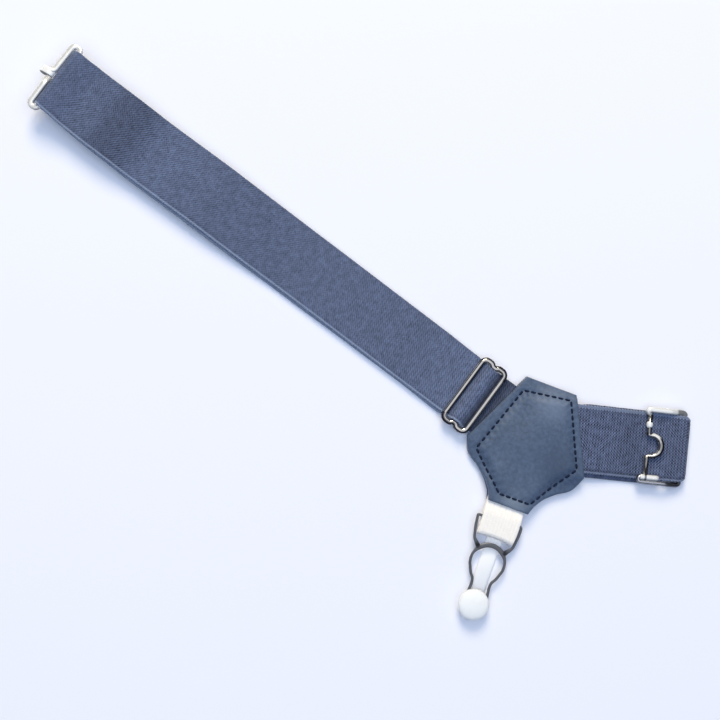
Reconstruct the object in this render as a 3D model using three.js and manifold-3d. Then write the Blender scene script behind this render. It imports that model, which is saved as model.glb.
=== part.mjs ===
// A sock suspender lying flat: an elastic strap with a hook, a slider and a leather patch, a short
// strap with an eye that is folded back over it, and a tab that carries a button clip.
// Millimetres, +Z up. The origin is the middle of the patch, on the surface that it lies on.
// The strap and clip frames below run along u from their start, across y and up z.
import * as THREE from 'three';
import { mergeVertices } from 'three/addons/utils/BufferGeometryUtils.js';
import Module from 'manifold-3d';

const wasm = await Module();
wasm.setup();

// Clearance between neighbours that touch on the real one
const GAP = 0.3;

// Elastic webbing of the two straps
const WEB_HALF = 12.2;
const WEB_THICK = 1.1;
const WEB_EDGE = 0.3;
const PLY_STEP = WEB_THICK + GAP;

// Leather patch
const LEATHER = 1.2;
const PATCH_TOP = { half: 9.6, y: 21.6 };
const PATCH_SIDE = { half: 22.6, y: -6.0 };
const PATCH_FOOT = { half: 7.7, y: -25.4 };
const PATCH_CROWN = 3.3;
const STRAP_START = 4;

// Long strap: where it starts, how it is turned, and where it folds round the hook
const LONG = { x: -1.88, y: 1.17, angle: 163.8 };
const LONG_END = 212.95;
const LONG_UNDER_START = 200;

// How high the long strap lies above the surface, along u
const LONG_LIFT = [
  { u: 0, z: 0 },
  { u: 104, z: 0 },
  { u: 148, z: 2.8 },
  { u: 168, z: 3.0 },
  { u: 187, z: 5.1 },
  { u: 198, z: 5.2 },
  { u: 214, z: 6.2 },
];

// Sideways place of the long strap's two plies, along u: the under one shows along the lower edge
const LONG_LINES = [
  { u: 25, upper: -0.12, under: -0.12 },
  { u: 32, upper: -0.55, under: 0.6 },
  { u: 48, upper: -0.75, under: 0.15 },
  { u: 100, upper: -0.82, under: 0.25 },
  { u: 140, upper: -0.6, under: 0.45 },
  { u: 180, upper: -0.2, under: 0.5 },
  { u: 206, upper: -0.3, under: -0.3 },
];

// Slider: a wire frame with a soldered centre bar
const SLIDER_U = 24.75;
const SLIDER_SHIFT = -0.12;
const SLIDER_WIRE = 1.05;
const SLIDER_Z = 3.85;
const SLIDER_HALF = { u: 4.9, y: 13.2 };
const SLIDER_NOTCH = { half: 0.6, flare: 1.0, depth: 0.85 };
const CENTRE_BAR = 0.7;
const CENTRE_BAR_Z = 2.3;
const UPPER_PINCH = { half: 11.4, within: 3.7, until: 6.2 };
const TAIL_PINCH = { half: 10.9, within: 2.0, until: 6.2 };
const WRAP_PAST_TOP = 22;

// Hook: a narrow wire frame whose outer bar runs out into a hook
const HOOK_WIRE = 0.75;
const HOOK_HALF = 13.15;
const HOOK_SHIFT = -0.35;
const HOOK_SPAN = 3.2;
const HOOK_DROOP = 17;
const HOOK_PATH = [
  { u: 3.1, z: -0.2 }, { u: 3.5, z: 0.7 }, { u: 4.5, z: 1.15 },
  { u: 6.0, z: 1.15 }, { u: 7.3, z: 0.75 }, { u: 7.95, z: 0.0 },
  { u: 7.8, z: -0.9 }, { u: 6.9, z: -1.4 }, { u: 5.2, z: -1.45 },
];
const HOOK_BAND = { half: 1.2, thick: 0.9, y: -0.4, drift: 0.1 };

// Short strap, and the eye that is folded back over it
const SHORT = { x: -0.37, y: 2.93, angle: 14.5 };
const SHORT_END = 57.95;
const SHORT_LINES = [
  { u: 38, upper: -0.15, under: 0.5 },
  { u: 53, upper: 0.05, under: 0.05 },
];
const EYE_WIRE = 0.78;
const EYE_HALF = 13.3;
const EYE_CROSS_U = 42.5;
const EYE_EARS = { low: 40.1, high: 41.6 };
const EYE_EAR_RADIUS = 0.9;
const EYE_TAIL_U = 47.6;
const EYE_CROSS_Z = 3.75;
const EYE_BUMP = { radius: 3.85, u: 43.65, y: 0.1 };
const EYE_CREST_U = 50;

// Tab: narrow elastic, folded in two
const TAB = { x: -1.05, y: 0, angle: -88.3 };
const TAB_HALF = 6.85;
const TAB_THICK = 1.0;
const TAB_START = 14;
const TAB_END = 37.75;
const TAB_BACK_Z = 2.1;

// Clip: a flat frame with a keyhole loop, hung from its top bar between the plies of the tab
const CLIP = { x: -0.8, y: -31.0, angle: -86.5 };
const CLIP_Z = 3.35;
const CLIP_SLOPE = 2.5;
const CLIP_THICK = 0.9;
const CLIP_BAR = 1.0;
const CLIP_CROSS = 1.5;
const CLIP_ARM = [
  { u: 0, y: 8.25, radius: 0.9 },
  { u: 3.6, y: 8.15, radius: 6 },
  { u: 8.4, y: 7.3, radius: 3 },
  { u: 11.5, y: 4.6 },
];
const LOOP = { u: 15.85, radius: 6.35 };
const NECK = [{ u: 20.9, y: 4.75 }, { u: 22.7, y: 3.6 }, { u: 24.8, y: 3.35 }, { u: 27.5, y: 3.6 }];
const BULB = { u: 31.1, radius: 4.0 };

// Rubber tongue with its button
const TONGUE = { x: 0.1, y: -35.0, angle: -89.2 };
const TONGUE_HALF = 3.0;
const TONGUE_THICK = 1.1;
const BUTTON_U = 27.7;
const BUTTON_RADIUS = 5.5;
const STEM_RADIUS = 2.4;
const BASE_RADIUS = 4.7;
const BUTTON_Z = 2.95;
const BUTTON_TOP = 5.9;

// Colours as the object shows them
const SLATE_WEBBING = 0x5d6783;
const SHORT_WEBBING = 0x555e7b;
const SLATE_LEATHER = 0x586882;
const CHROME = 0xd2d4d8;
const DARK_METAL = 0x5a606e;
const CREAM = 0xf0eeea;
const RUBBER_WHITE = 0xf4f7fa;

const radians = THREE.MathUtils.degToRad;

function mesh(name, geometry, colour, roughness, metalness) {
  const material = new THREE.MeshStandardMaterial({ color: colour, roughness, metalness });
  const piece = new THREE.Mesh(geometry, material);
  piece.name = name;
  return piece;
}

// Reads a column of a short table at u, eased from row to row
function tableValue(rows, column, u) {
  if (u <= rows[0].u) return rows[0][column];
  for (let i = 1; i < rows.length; i += 1) {
    if (u <= rows[i].u) {
      const share = THREE.MathUtils.smoothstep(u, rows[i - 1].u, rows[i].u);
      return THREE.MathUtils.lerp(rows[i - 1][column], rows[i][column], share);
    }
  }
  return rows[rows.length - 1][column];
}

// A closed solid through sections of the same number of points; closed loops meet their start
function loft(sections, isLoop) {
  const count = sections[0].length;
  const positions = sections.flat().flatMap((p) => [p.x, p.y, p.z]);
  const indices = [];
  const spans = isLoop ? sections.length : sections.length - 1;
  for (let s = 0; s < spans; s += 1) {
    const here = s * count;
    const next = ((s + 1) % sections.length) * count;
    for (let k = 0; k < count; k += 1) {
      const l = (k + 1) % count;
      indices.push(here + k, here + l, next + l, here + k, next + l, next + k);
    }
  }
  if (!isLoop) {
    const last = (sections.length - 1) * count;
    for (let k = 1; k < count - 1; k += 1) {
      indices.push(0, k + 1, k, last, last + k, last + k + 1);
    }
  }
  const geometry = new THREE.BufferGeometry();
  geometry.setAttribute('position', new THREE.Float32BufferAttribute(positions, 3));
  geometry.setIndex(indices);
  return facingOut(geometry);
}

// Signed volume tells whether the faces point out, and turns them round if they don't
function facingOut(geometry) {
  const position = geometry.getAttribute('position');
  const index = geometry.getIndex().array;
  const corner = [new THREE.Vector3(), new THREE.Vector3(), new THREE.Vector3()];
  let volume = 0;
  for (let i = 0; i < index.length; i += 3) {
    corner.forEach((v, k) => v.fromBufferAttribute(position, index[i + k]));
    volume += corner[0].dot(corner[1].clone().cross(corner[2]));
  }
  if (volume < 0) {
    for (let i = 0; i < index.length; i += 3) {
      [index[i], index[i + 1]] = [index[i + 1], index[i]];
    }
  }
  return geometry;
}

function toSolid(geometry) {
  const bare = geometry.clone();
  bare.deleteAttribute('normal');
  bare.deleteAttribute('uv');
  const merged = mergeVertices(bare, 1e-4);
  const vertProperties = new Float32Array(merged.getAttribute('position').array);
  const triVerts = new Uint32Array(merged.getIndex().array);
  return new wasm.Manifold(new wasm.Mesh({ numProp: 3, vertProperties, triVerts }));
}

function union(geometries) {
  const solid = geometries.map(toSolid).reduce((sum, next) => sum.add(next));
  const result = solid.getMesh();
  const geometry = new THREE.BufferGeometry();
  geometry.setAttribute('position', new THREE.BufferAttribute(new Float32Array(result.vertProperties), 3));
  geometry.setIndex(new THREE.BufferAttribute(new Uint32Array(result.triVerts), 1));
  return geometry;
}

// A band through stations of u, z, y and half width; its long edges are chamfered
function ribbon(stations, thick) {
  const flat = thick / 2 - WEB_EDGE;
  const sections = stations.map((here, i) => {
    const before = stations[Math.max(i - 1, 0)];
    const after = stations[Math.min(i + 1, stations.length - 1)];
    const along = new THREE.Vector2(after.u - before.u, after.z - before.z).normalize();
    const outline = [
      [-here.half, -flat], [-here.half, flat],
      [-here.half + WEB_EDGE, thick / 2], [here.half - WEB_EDGE, thick / 2],
      [here.half, flat], [here.half, -flat],
      [here.half - WEB_EDGE, -thick / 2], [-here.half + WEB_EDGE, -thick / 2],
    ];
    return outline.map(([across, up]) => (
      new THREE.Vector3(here.u - along.y * up, here.y + across, here.z + along.x * up)
    ));
  });
  return loft(sections, false);
}

// Points of u and z on an arc, with angles in degrees from +u towards +z
function arc(centreU, centreZ, radius, from, to, steps) {
  return Array.from({ length: steps + 1 }, (_, i) => {
    const turn = radians(THREE.MathUtils.lerp(from, to, i / steps));
    return { u: centreU + radius * Math.cos(turn), z: centreZ + radius * Math.sin(turn) };
  });
}

// Points of u and z at even steps, both ends included, at a height that is a function of u
function run(from, to, steps, height) {
  return Array.from({ length: steps + 1 }, (_, i) => {
    const u = THREE.MathUtils.lerp(from, to, i / steps);
    return { u, z: height(u) };
  });
}

// A wire of round section along points; a closed loop keeps one frame all the way round
function wire(points, radius, sides, isLoop) {
  const count = points.length;
  const at = (i) => (isLoop ? points[(i + count) % count] : points[THREE.MathUtils.clamp(i, 0, count - 1)]);
  let side = null;
  const sections = points.map((point, i) => {
    const along = at(i + 1).clone().sub(at(i - 1)).normalize();
    const guess = side ?? new THREE.Vector3(0, 0, 1);
    side = guess.clone().addScaledVector(along, -guess.dot(along)).normalize();
    const other = along.clone().cross(side);
    return Array.from({ length: sides }, (_, k) => {
      const turn = (2 * Math.PI * (k + 0.5)) / sides;
      return point.clone()
        .addScaledVector(side, radius * Math.cos(turn))
        .addScaledVector(other, radius * Math.sin(turn));
    });
  });
  return loft(sections, isLoop);
}

// Rounds the corners of a polyline; each corner is [x, y, z, radius] and ends keep their place
function rounded(corners, isLoop) {
  const points = [];
  const count = corners.length;
  corners.forEach(([x, y, z, radius = 0], i) => {
    const here = new THREE.Vector3(x, y, z);
    const isEnd = !isLoop && (i === 0 || i === count - 1);
    if (isEnd || radius === 0) {
      points.push(here);
      return;
    }
    const [before, after] = [corners[(i + count - 1) % count], corners[(i + 1) % count]]
      .map((c) => new THREE.Vector3(c[0], c[1], c[2]).sub(here).normalize());
    const opening = before.angleTo(after);
    const turn = Math.PI - opening;
    const reach = radius / Math.tan(opening / 2);
    const middle = before.clone().add(after).setLength(radius / Math.sin(opening / 2)).add(here);
    const from = here.clone().addScaledVector(before, reach).sub(middle);
    const to = here.clone().addScaledVector(after, reach).sub(middle);
    const steps = Math.max(2, Math.round(turn / radians(20)));
    for (let k = 0; k <= steps; k += 1) {
      const share = k / steps;
      points.push(middle.clone()
        .addScaledVector(from, Math.sin((1 - share) * turn) / Math.sin(turn))
        .addScaledVector(to, Math.sin(share * turn) / Math.sin(turn)));
    }
  });
  return points;
}

// Turns a piece made along u, y and z into its place
function placed(frame, ...pieces) {
  const group = new THREE.Group();
  group.position.set(frame.x, frame.y, 0);
  group.rotation.z = radians(frame.angle);
  group.add(...pieces);
  return group;
}

// Height of the lowest ply inside the patch
const INNER_PLY = LEATHER + GAP + WEB_THICK / 2;

// Radius at which the middle of a webbing ply goes round a wire
function foldRadiusFor(wireRadius) {
  return wireRadius + GAP + WEB_THICK / 2;
}

// The webbing is drawn in between the wire's ends, and the fold's corners are rounded
function foldHalf(u, end) {
  const drawnIn = 0.2 * THREE.MathUtils.smoothstep(u, end - 10, end - 6.2);
  const stretch = 3;
  const corner = 0.8;
  const share = THREE.MathUtils.clamp((u - (end - stretch)) / stretch, 0, 1);
  return WEB_HALF - drawnIn - corner * (1 - Math.sqrt(1 - share * share));
}

const lift = (u) => tableValue(LONG_LIFT, 'z', u);
const hookCentre = {
  u: LONG_END - WEB_THICK - GAP - HOOK_WIRE,
  z: WEB_THICK / 2 + foldRadiusFor(HOOK_WIRE) + lift(LONG_END),
};

// Long strap: from the patch under, over and under the slider's bars to the hook, round it, and
// back below to its fixed end, which is sewn round the centre bar
function longStrap() {
  const foldRadius = foldRadiusFor(HOOK_WIRE);
  const tailRadius = CENTRE_BAR + GAP + WEB_THICK / 2;
  const overRadius = tailRadius + PLY_STEP;
  const underRadius = SLIDER_WIRE + GAP + WEB_THICK / 2;
  const rise = SLIDER_Z - CENTRE_BAR_Z;
  const centres = Math.hypot(SLIDER_HALF.u, rise);
  const slope = THREE.MathUtils.radToDeg(
    Math.asin((overRadius + underRadius) / centres) - Math.atan2(rise, SLIDER_HALF.u),
  );
  const leftBar = SLIDER_U + SLIDER_HALF.u;
  const rightBar = SLIDER_U - SLIDER_HALF.u;
  const upperZ = SLIDER_Z - underRadius;
  const tailZ = CENTRE_BAR_Z - tailRadius;
  const upperHeight = (u) => {
    const opening = THREE.MathUtils.smoothstep(u, LONG_UNDER_START, hookCentre.u);
    const joined = THREE.MathUtils.lerp(upperZ, WEB_THICK / 2 + 2 * foldRadius, opening);
    return joined + lift(u);
  };
  const lowerHeight = (u) => (
    THREE.MathUtils.lerp(tailZ, WEB_THICK / 2, THREE.MathUtils.smoothstep(u, SLIDER_U, 34)) + lift(u)
  );
  const inLine = (column, pinch) => (station) => ({
    ...station,
    y: tableValue(LONG_LINES, column, station.u),
    half: pinched(station.u, pinch),
  });
  const upper = [
    ...run(STRAP_START, rightBar - 2.5, 6, (u) => (
      THREE.MathUtils.lerp(INNER_PLY, upperZ, THREE.MathUtils.smoothstep(u, 13, rightBar - 2.5))
    )),
    ...arc(rightBar, SLIDER_Z, underRadius, -90, -90 + slope, 6),
    ...arc(SLIDER_U, CENTRE_BAR_Z, overRadius, 90 + slope, 90 - slope, 12),
    ...arc(leftBar, SLIDER_Z, underRadius, -90 - slope, -90, 6),
    ...run(leftBar + 1.2, leftBar + 6, 3, upperHeight),
    ...run(leftBar + 9, hookCentre.u - 0.5, 47, upperHeight),
  ].map(inLine('upper', UPPER_PINCH));
  const fold = arc(hookCentre.u, hookCentre.z, foldRadius, 90, -90, 12).map((station) => ({
    ...station, y: tableValue(LONG_LINES, 'upper', LONG_END), half: foldHalf(station.u, LONG_END),
  }));
  const lower = [
    ...run(hookCentre.u - 0.5, SLIDER_U + 1, 50, lowerHeight),
    ...arc(SLIDER_U, CENTRE_BAR_Z, tailRadius, 270, 90 - WRAP_PAST_TOP, 14),
  ].map(inLine('under', TAIL_PINCH));
  const geometry = ribbon([...upper, ...fold, ...lower], WEB_THICK);
  return mesh('long_strap', geometry, SLATE_WEBBING, 0.9, 0);
}

// The slider draws the webbing in between its bars
function pinched(u, { half, within, until }) {
  const nearness = 1 - THREE.MathUtils.smoothstep(Math.abs(u - SLIDER_U), within, until);
  return Math.min(
    THREE.MathUtils.lerp(WEB_HALF, half, nearness),
    foldHalf(Math.min(u, hookCentre.u), LONG_END),
  );
}

function slider() {
  const cornerRadius = 1.9;
  const notchRadius = 1.2;
  const { u: halfU, y: halfY } = SLIDER_HALF;
  const { half, flare, depth } = SLIDER_NOTCH;
  const end = (sign) => [
    [sign * halfU, sign * halfY, 0, cornerRadius],
    [sign * (half + flare), sign * halfY, 0, notchRadius],
    [sign * half, sign * (halfY - depth), 0, notchRadius],
    [-sign * half, sign * (halfY - depth), 0, notchRadius],
    [-sign * (half + flare), sign * halfY, 0, notchRadius],
    [-sign * halfU, sign * halfY, 0, cornerRadius],
  ];
  const frame = wire(rounded([...end(1), ...end(-1)], true), SLIDER_WIRE, 10, true);
  const barEnd = halfY - depth;
  const barZ = CENTRE_BAR_Z - SLIDER_Z;
  const bar = wire(
    [new THREE.Vector3(0, -barEnd, barZ), new THREE.Vector3(0, barEnd, barZ)],
    CENTRE_BAR, 8, false,
  );
  const piece = mesh('slider', union([frame, bar]), CHROME, 0.15, 1);
  piece.position.set(SLIDER_U, SLIDER_SHIFT, SLIDER_Z);
  return piece;
}

// Hook: a wire frame round the fold, and a flattened tongue that rises from its outer bar, runs
// out and curls back below itself
function hook() {
  const corner = 1.6;
  const bow = 0.35;
  const bend = 1.3;
  const outer = HOOK_SPAN;
  const frame = rounded([
    [outer + bow, HOOK_BAND.y, 0],
    [outer + bow, 5, 0, 8],
    [outer, HOOK_HALF, 0, corner],
    [0, HOOK_HALF, 0, corner],
    [0, -HOOK_HALF, 0, corner],
    [outer, -HOOK_HALF, 0, corner],
    [outer, HOOK_BAND.y - 2.0, 0.3, bend],
    [outer + 1.6, HOOK_BAND.y - 0.3, 0.8],
  ], false);
  const band = HOOK_PATH.map((station) => ({
    ...station, y: HOOK_BAND.y + HOOK_BAND.drift * (station.u - outer), half: HOOK_BAND.half,
  }));
  const pieces = [wire(frame, HOOK_WIRE, 8, false), ribbon(band, HOOK_BAND.thick)];
  const piece = mesh('hook', union(pieces), CHROME, 0.15, 1);
  piece.position.set(hookCentre.u, HOOK_SHIFT, hookCentre.z);
  piece.rotation.y = radians(HOOK_DROOP);
  return piece;
}

const eyeCentre = {
  u: SHORT_END - WEB_THICK - GAP - EYE_WIRE,
  z: WEB_THICK / 2 + foldRadiusFor(EYE_WIRE),
};

// Short strap: two plies folded round the eye's inner bar, both ends held in the patch
function shortStrap() {
  const foldRadius = foldRadiusFor(EYE_WIRE);
  const settle = (u) => THREE.MathUtils.smoothstep(u, 19, 34);
  const opening = (u) => THREE.MathUtils.smoothstep(u, 48.5, eyeCentre.u);
  const lowerHeight = (u) => THREE.MathUtils.lerp(INNER_PLY, WEB_THICK / 2, settle(u));
  const upperHeight = (u) => (
    lowerHeight(u) + THREE.MathUtils.lerp(PLY_STEP, 2 * foldRadius, opening(u))
  );
  const inLine = (column) => (station) => ({
    ...station, y: tableValue(SHORT_LINES, column, station.u), half: foldHalf(station.u, SHORT_END),
  });
  const geometry = ribbon([
    ...run(STRAP_START, eyeCentre.u - 0.5, 26, upperHeight).map(inLine('upper')),
    ...arc(eyeCentre.u, eyeCentre.z, foldRadius, 90, -90, 12).map(inLine('upper')),
    ...run(eyeCentre.u - 0.5, STRAP_START, 26, lowerHeight).map(inLine('under')),
  ], WEB_THICK);
  return mesh('short_strap', geometry, SHORT_WEBBING, 0.9, 0);
}

// Eye: a wide wire frame that turns back on itself at both sides and carries a cross wire with a
// bow for the hook
function eye() {
  const toU = (u) => u - eyeCentre.u;
  const top = EYE_CROSS_Z - eyeCentre.z;
  const cornerRadius = 1.4;
  const inside = EYE_HALF - 2 * EYE_EAR_RADIUS;
  const side = (sign, earU, tailU) => [
    [toU(tailU), sign * inside, top],
    [toU(earU), sign * inside, top, EYE_EAR_RADIUS],
    [toU(earU), sign * EYE_HALF, top, EYE_EAR_RADIUS],
    [toU(EYE_CREST_U), sign * EYE_HALF, top, 3],
    [0, sign * EYE_HALF, 0, cornerRadius],
  ];
  const low = side(-1, EYE_EARS.low, EYE_TAIL_U);
  const high = side(1, EYE_EARS.high, EYE_CROSS_U + 0.1);
  const frame = rounded([...low, ...high.reverse()], false);
  const bumpSteps = 10;
  const bump = Array.from({ length: bumpSteps + 1 }, (_, i) => {
    const turn = THREE.MathUtils.lerp(-Math.PI / 2, Math.PI / 2, i / bumpSteps);
    return [
      toU(EYE_BUMP.u) + EYE_BUMP.radius * Math.cos(turn),
      EYE_BUMP.y + EYE_BUMP.radius * Math.sin(turn),
      top,
    ];
  });
  const cross = rounded([
    [toU(EYE_CROSS_U), -inside, top],
    [toU(EYE_CROSS_U), EYE_BUMP.y - EYE_BUMP.radius, top],
    ...bump.slice(1, -1),
    [toU(EYE_CROSS_U), EYE_BUMP.y + EYE_BUMP.radius, top],
    [toU(EYE_CROSS_U), inside, top],
  ], false);
  const pieces = [wire(frame, EYE_WIRE, 8, false), wire(cross, EYE_WIRE, 8, false)];
  const piece = mesh('eye', union(pieces), CHROME, 0.15, 1);
  piece.position.set(eyeCentre.u, 0, eyeCentre.z);
  return piece;
}

// The patch's outline: a straight top, slanting sides, hollow flanks and a narrow straight foot
function patchOutline() {
  const flank = [
    [21.0, -10.4], [18.9, -12.8], [15.7, -14.8], [13.2, -16.9], [11.1, -19.0], [8.9, -22.0],
  ];
  const shape = new THREE.Shape();
  shape.moveTo(-PATCH_TOP.half, PATCH_TOP.y);
  shape.lineTo(PATCH_TOP.half, PATCH_TOP.y);
  shape.lineTo(PATCH_SIDE.half, PATCH_SIDE.y);
  shape.splineThru(flank.map(([x, y]) => new THREE.Vector2(x, y)));
  shape.lineTo(PATCH_FOOT.half, PATCH_FOOT.y);
  shape.lineTo(-PATCH_FOOT.half, PATCH_FOOT.y);
  shape.splineThru(flank.map(([x, y]) => new THREE.Vector2(-x, y)).reverse());
  shape.lineTo(-PATCH_SIDE.half, PATCH_SIDE.y);
  shape.closePath();
  return shape;
}

function patchBack() {
  const bevel = 0.2;
  const shape = new THREE.Shape(outlinePoints(76));
  const geometry = new THREE.ExtrudeGeometry(shape, {
    depth: LEATHER - 2 * bevel,
    bevelSize: bevel,
    bevelThickness: bevel,
    bevelOffset: -bevel,
    bevelSegments: 1,
  });
  geometry.translate(0, 0, bevel);
  return mesh('patch_back', geometry, SLATE_LEATHER, 0.6, 0);
}

// The outline as points at about even steps, its corners kept
function outlinePoints(steps) {
  const perimeter = patchOutline().getLength();
  const points = [];
  patchOutline().curves.forEach((curve) => {
    const pieces = Math.max(1, Math.round((steps * curve.getLength()) / perimeter));
    points.push(...curve.getSpacedPoints(pieces).slice(0, -1));
  });
  return points;
}

// How much of a band's thickness the top leather has to clear at a point of the patch
function cover(frame, start, half, point) {
  const turn = radians(frame.angle);
  const dx = point.x - frame.x;
  const dy = point.y - frame.y;
  const u = dx * Math.cos(turn) + dy * Math.sin(turn);
  const y = Math.abs(-dx * Math.sin(turn) + dy * Math.cos(turn));
  const across = 1 - THREE.MathUtils.smoothstep(y, half + 1.0, half + 2.8);
  return across * THREE.MathUtils.smoothstep(u, start - 4, start - 1);
}

// Underside of the top leather: down on the back leather, up over the bands, crowned in the middle
function leatherUnderside(point, edgeShare) {
  const rest = LEATHER + GAP;
  const longRise = PLY_STEP;
  const shortRise = 2 * PLY_STEP;
  const tabRise = 2 * (TAB_THICK + GAP);
  const crown = PATCH_CROWN * (1 - THREE.MathUtils.smoothstep(edgeShare, 0.1, 0.95));
  return rest + Math.max(
    crown,
    longRise * cover(LONG, STRAP_START, WEB_HALF, point),
    shortRise * cover(SHORT, STRAP_START, WEB_HALF + SHORT_LINES[0].under, point),
    tabRise * cover(TAB, TAB_START, TAB_HALF, point),
  );
}

function patchFront() {
  const outline = outlinePoints(76);
  const rings = [0.12, 0.3, 0.48, 0.63, 0.76, 0.86, 0.94, 1];
  const edgeDrop = 0.3;
  const count = outline.length;
  const positions = [];
  const addPoint = (x, y, z) => positions.push(x, y, z);
  const surface = (isTop) => {
    const rise = isTop ? LEATHER : 0;
    addPoint(0, 0, leatherUnderside(new THREE.Vector2(0, 0), 0) + rise);
    rings.forEach((share) => {
      const drop = isTop && share === 1 ? edgeDrop : 0;
      outline.forEach((p) => {
        const point = p.clone().multiplyScalar(share);
        addPoint(point.x, point.y, leatherUnderside(point, share) + rise - drop);
      });
    });
  };
  surface(true);
  surface(false);
  const half = 1 + rings.length * count;
  const indices = [];
  for (let k = 0; k < count; k += 1) {
    const l = (k + 1) % count;
    indices.push(0, 1 + k, 1 + l);
    indices.push(half, half + 1 + l, half + 1 + k);
    for (let r = 0; r < rings.length - 1; r += 1) {
      const inner = 1 + r * count;
      const outer = inner + count;
      indices.push(inner + k, outer + k, outer + l, inner + k, outer + l, inner + l);
      indices.push(half + inner + k, half + outer + l, half + outer + k);
      indices.push(half + inner + k, half + inner + l, half + outer + l);
    }
    const rim = 1 + (rings.length - 1) * count;
    indices.push(rim + k, half + rim + k, half + rim + l, rim + k, half + rim + l, rim + l);
  }
  const geometry = new THREE.BufferGeometry();
  geometry.setAttribute('position', new THREE.Float32BufferAttribute(positions, 3));
  geometry.setIndex(indices);
  return mesh('patch_front', facingOut(geometry), SLATE_LEATHER, 0.6, 0);
}

// Tab: two plies that part round the clip's top bar and meet in a fold below it
function tab() {
  const foldRadius = CLIP_Z - TAB_BACK_Z;
  const foldU = TAB_END - TAB_THICK / 2 - foldRadius;
  const inPatch = LEATHER + GAP + TAB_THICK / 2;
  const opening = (u) => THREE.MathUtils.smoothstep(u, 25.5, 30);
  const backHeight = (u) => THREE.MathUtils.lerp(inPatch, TAB_BACK_Z, opening(u));
  const frontHeight = (u) => (
    THREE.MathUtils.lerp(inPatch + TAB_THICK + GAP, TAB_BACK_Z + 2 * foldRadius, opening(u))
  );
  const narrowing = (u) => 0.5 * THREE.MathUtils.smoothstep(u, foldU - 3, TAB_END);
  const stations = [
    ...run(TAB_START, foldU - 0.5, 12, frontHeight),
    ...arc(foldU, CLIP_Z, foldRadius, 90, -90, 10),
    ...run(foldU - 0.5, TAB_START, 12, backHeight),
  ].map((station) => ({ ...station, y: 0, half: TAB_HALF - narrowing(station.u) }));
  return mesh('tab', ribbon(stations, TAB_THICK), CREAM, 0.95, 0);
}

// A flat bar of varying width along a curve, as a shape in the plane of the clip
function barShape(points, width, isLoop) {
  const count = points.length;
  const at = (i) => (isLoop ? points[(i + count) % count] : points[THREE.MathUtils.clamp(i, 0, count - 1)]);
  const sideAt = (sign) => points.map((point, i) => {
    const along = at(i + 1).clone().sub(at(i - 1)).normalize();
    const reach = (sign * width(point)) / 2;
    return new THREE.Vector2(point.x - along.y * reach, point.y + along.x * reach);
  });
  if (!isLoop) return new THREE.Shape([...sideAt(1), ...sideAt(-1).reverse()]);
  const shape = new THREE.Shape(sideAt(1));
  shape.holes.push(new THREE.Path(sideAt(-1).reverse()));
  return shape;
}

// Keyhole loop from its round part over the neck to the small bulb under the button
function keyholePoints() {
  const onRing = (ring, angles) => angles.map((angle) => ({
    u: ring.u - ring.radius * Math.sin(radians(angle)), y: ring.radius * Math.cos(radians(angle)),
  }));
  const side = [
    ...onRing(LOOP, [90, 65, 40, 15, -10, -28]),
    ...NECK,
    ...onRing(BULB, [25, -10, -45, -90]),
  ];
  const mirrored = side.slice(1, -1).reverse().map(({ u, y }) => ({ u, y: -y }));
  const points = [...side, ...mirrored].map(({ u, y }) => new THREE.Vector3(u, y, 0));
  const curve = new THREE.CatmullRomCurve3(points, true, 'centripetal');
  return curve.getSpacedPoints(84).slice(0, -1).map((p) => new THREE.Vector2(p.x, p.y));
}

function clipFrame() {
  const flat = { depth: CLIP_THICK, bevelEnabled: false };
  const crossEnd = LOOP.u - LOOP.radius * 0.55;
  const loopWidth = (p) => (p.x < crossEnd ? CLIP_CROSS : CLIP_BAR);
  const loop = new THREE.ExtrudeGeometry(barShape(keyholePoints(), loopWidth, true), flat);
  const armSide = (sign) => CLIP_ARM.map(({ u, y, radius }) => [u, sign * y, 0, radius]);
  const arms = rounded([...armSide(1).reverse(), ...armSide(-1)], false)
    .map((p) => new THREE.Vector2(p.x, p.y));
  const armBar = new THREE.ExtrudeGeometry(barShape(arms, () => CLIP_BAR, false), flat);
  const piece = mesh('clip_frame', union([loop, armBar]), DARK_METAL, 0.35, 1);
  piece.geometry.translate(0, 0, -CLIP_THICK / 2);
  piece.position.z = CLIP_Z;
  piece.rotation.y = radians(CLIP_SLOPE);
  return piece;
}

// Rubber tongue behind the loop, with a stem through the loop's neck and a domed button in front
function buttonTongue() {
  const flat = { depth: TONGUE_THICK, bevelEnabled: false, curveSegments: 10 };
  const strip = new THREE.Shape();
  strip.moveTo(BUTTON_U, -TONGUE_HALF);
  strip.lineTo(BUTTON_U, TONGUE_HALF);
  strip.absarc(TONGUE_HALF, 0, TONGUE_HALF, Math.PI * 0.5, Math.PI * 1.5, false);
  strip.closePath();
  const base = new THREE.CylinderGeometry(BASE_RADIUS, BASE_RADIUS, TONGUE_THICK, 28);
  base.rotateX(Math.PI / 2);
  base.translate(BUTTON_U, 0, TONGUE_THICK / 2);
  const sunk = 0.4;
  const profile = [
    [0, TONGUE_THICK - sunk],
    [STEM_RADIUS, TONGUE_THICK - sunk],
    [STEM_RADIUS, BUTTON_Z],
    [BUTTON_RADIUS - 0.5, BUTTON_Z],
    [BUTTON_RADIUS, BUTTON_Z + 0.7],
    [BUTTON_RADIUS - 0.3, BUTTON_Z + 1.5],
    [BUTTON_RADIUS * 0.72, BUTTON_TOP - 0.5],
    [BUTTON_RADIUS * 0.35, BUTTON_TOP - 0.1],
    [0, BUTTON_TOP],
  ].map(([r, z]) => new THREE.Vector2(r, z));
  const dome = new THREE.LatheGeometry(profile, 28);
  dome.rotateX(Math.PI / 2);
  dome.translate(BUTTON_U, 0, 0);
  const geometry = union([new THREE.ExtrudeGeometry(strip, flat), base, dome]);
  return mesh('button_tongue', geometry, RUBBER_WHITE, 0.45, 0);
}

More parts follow.
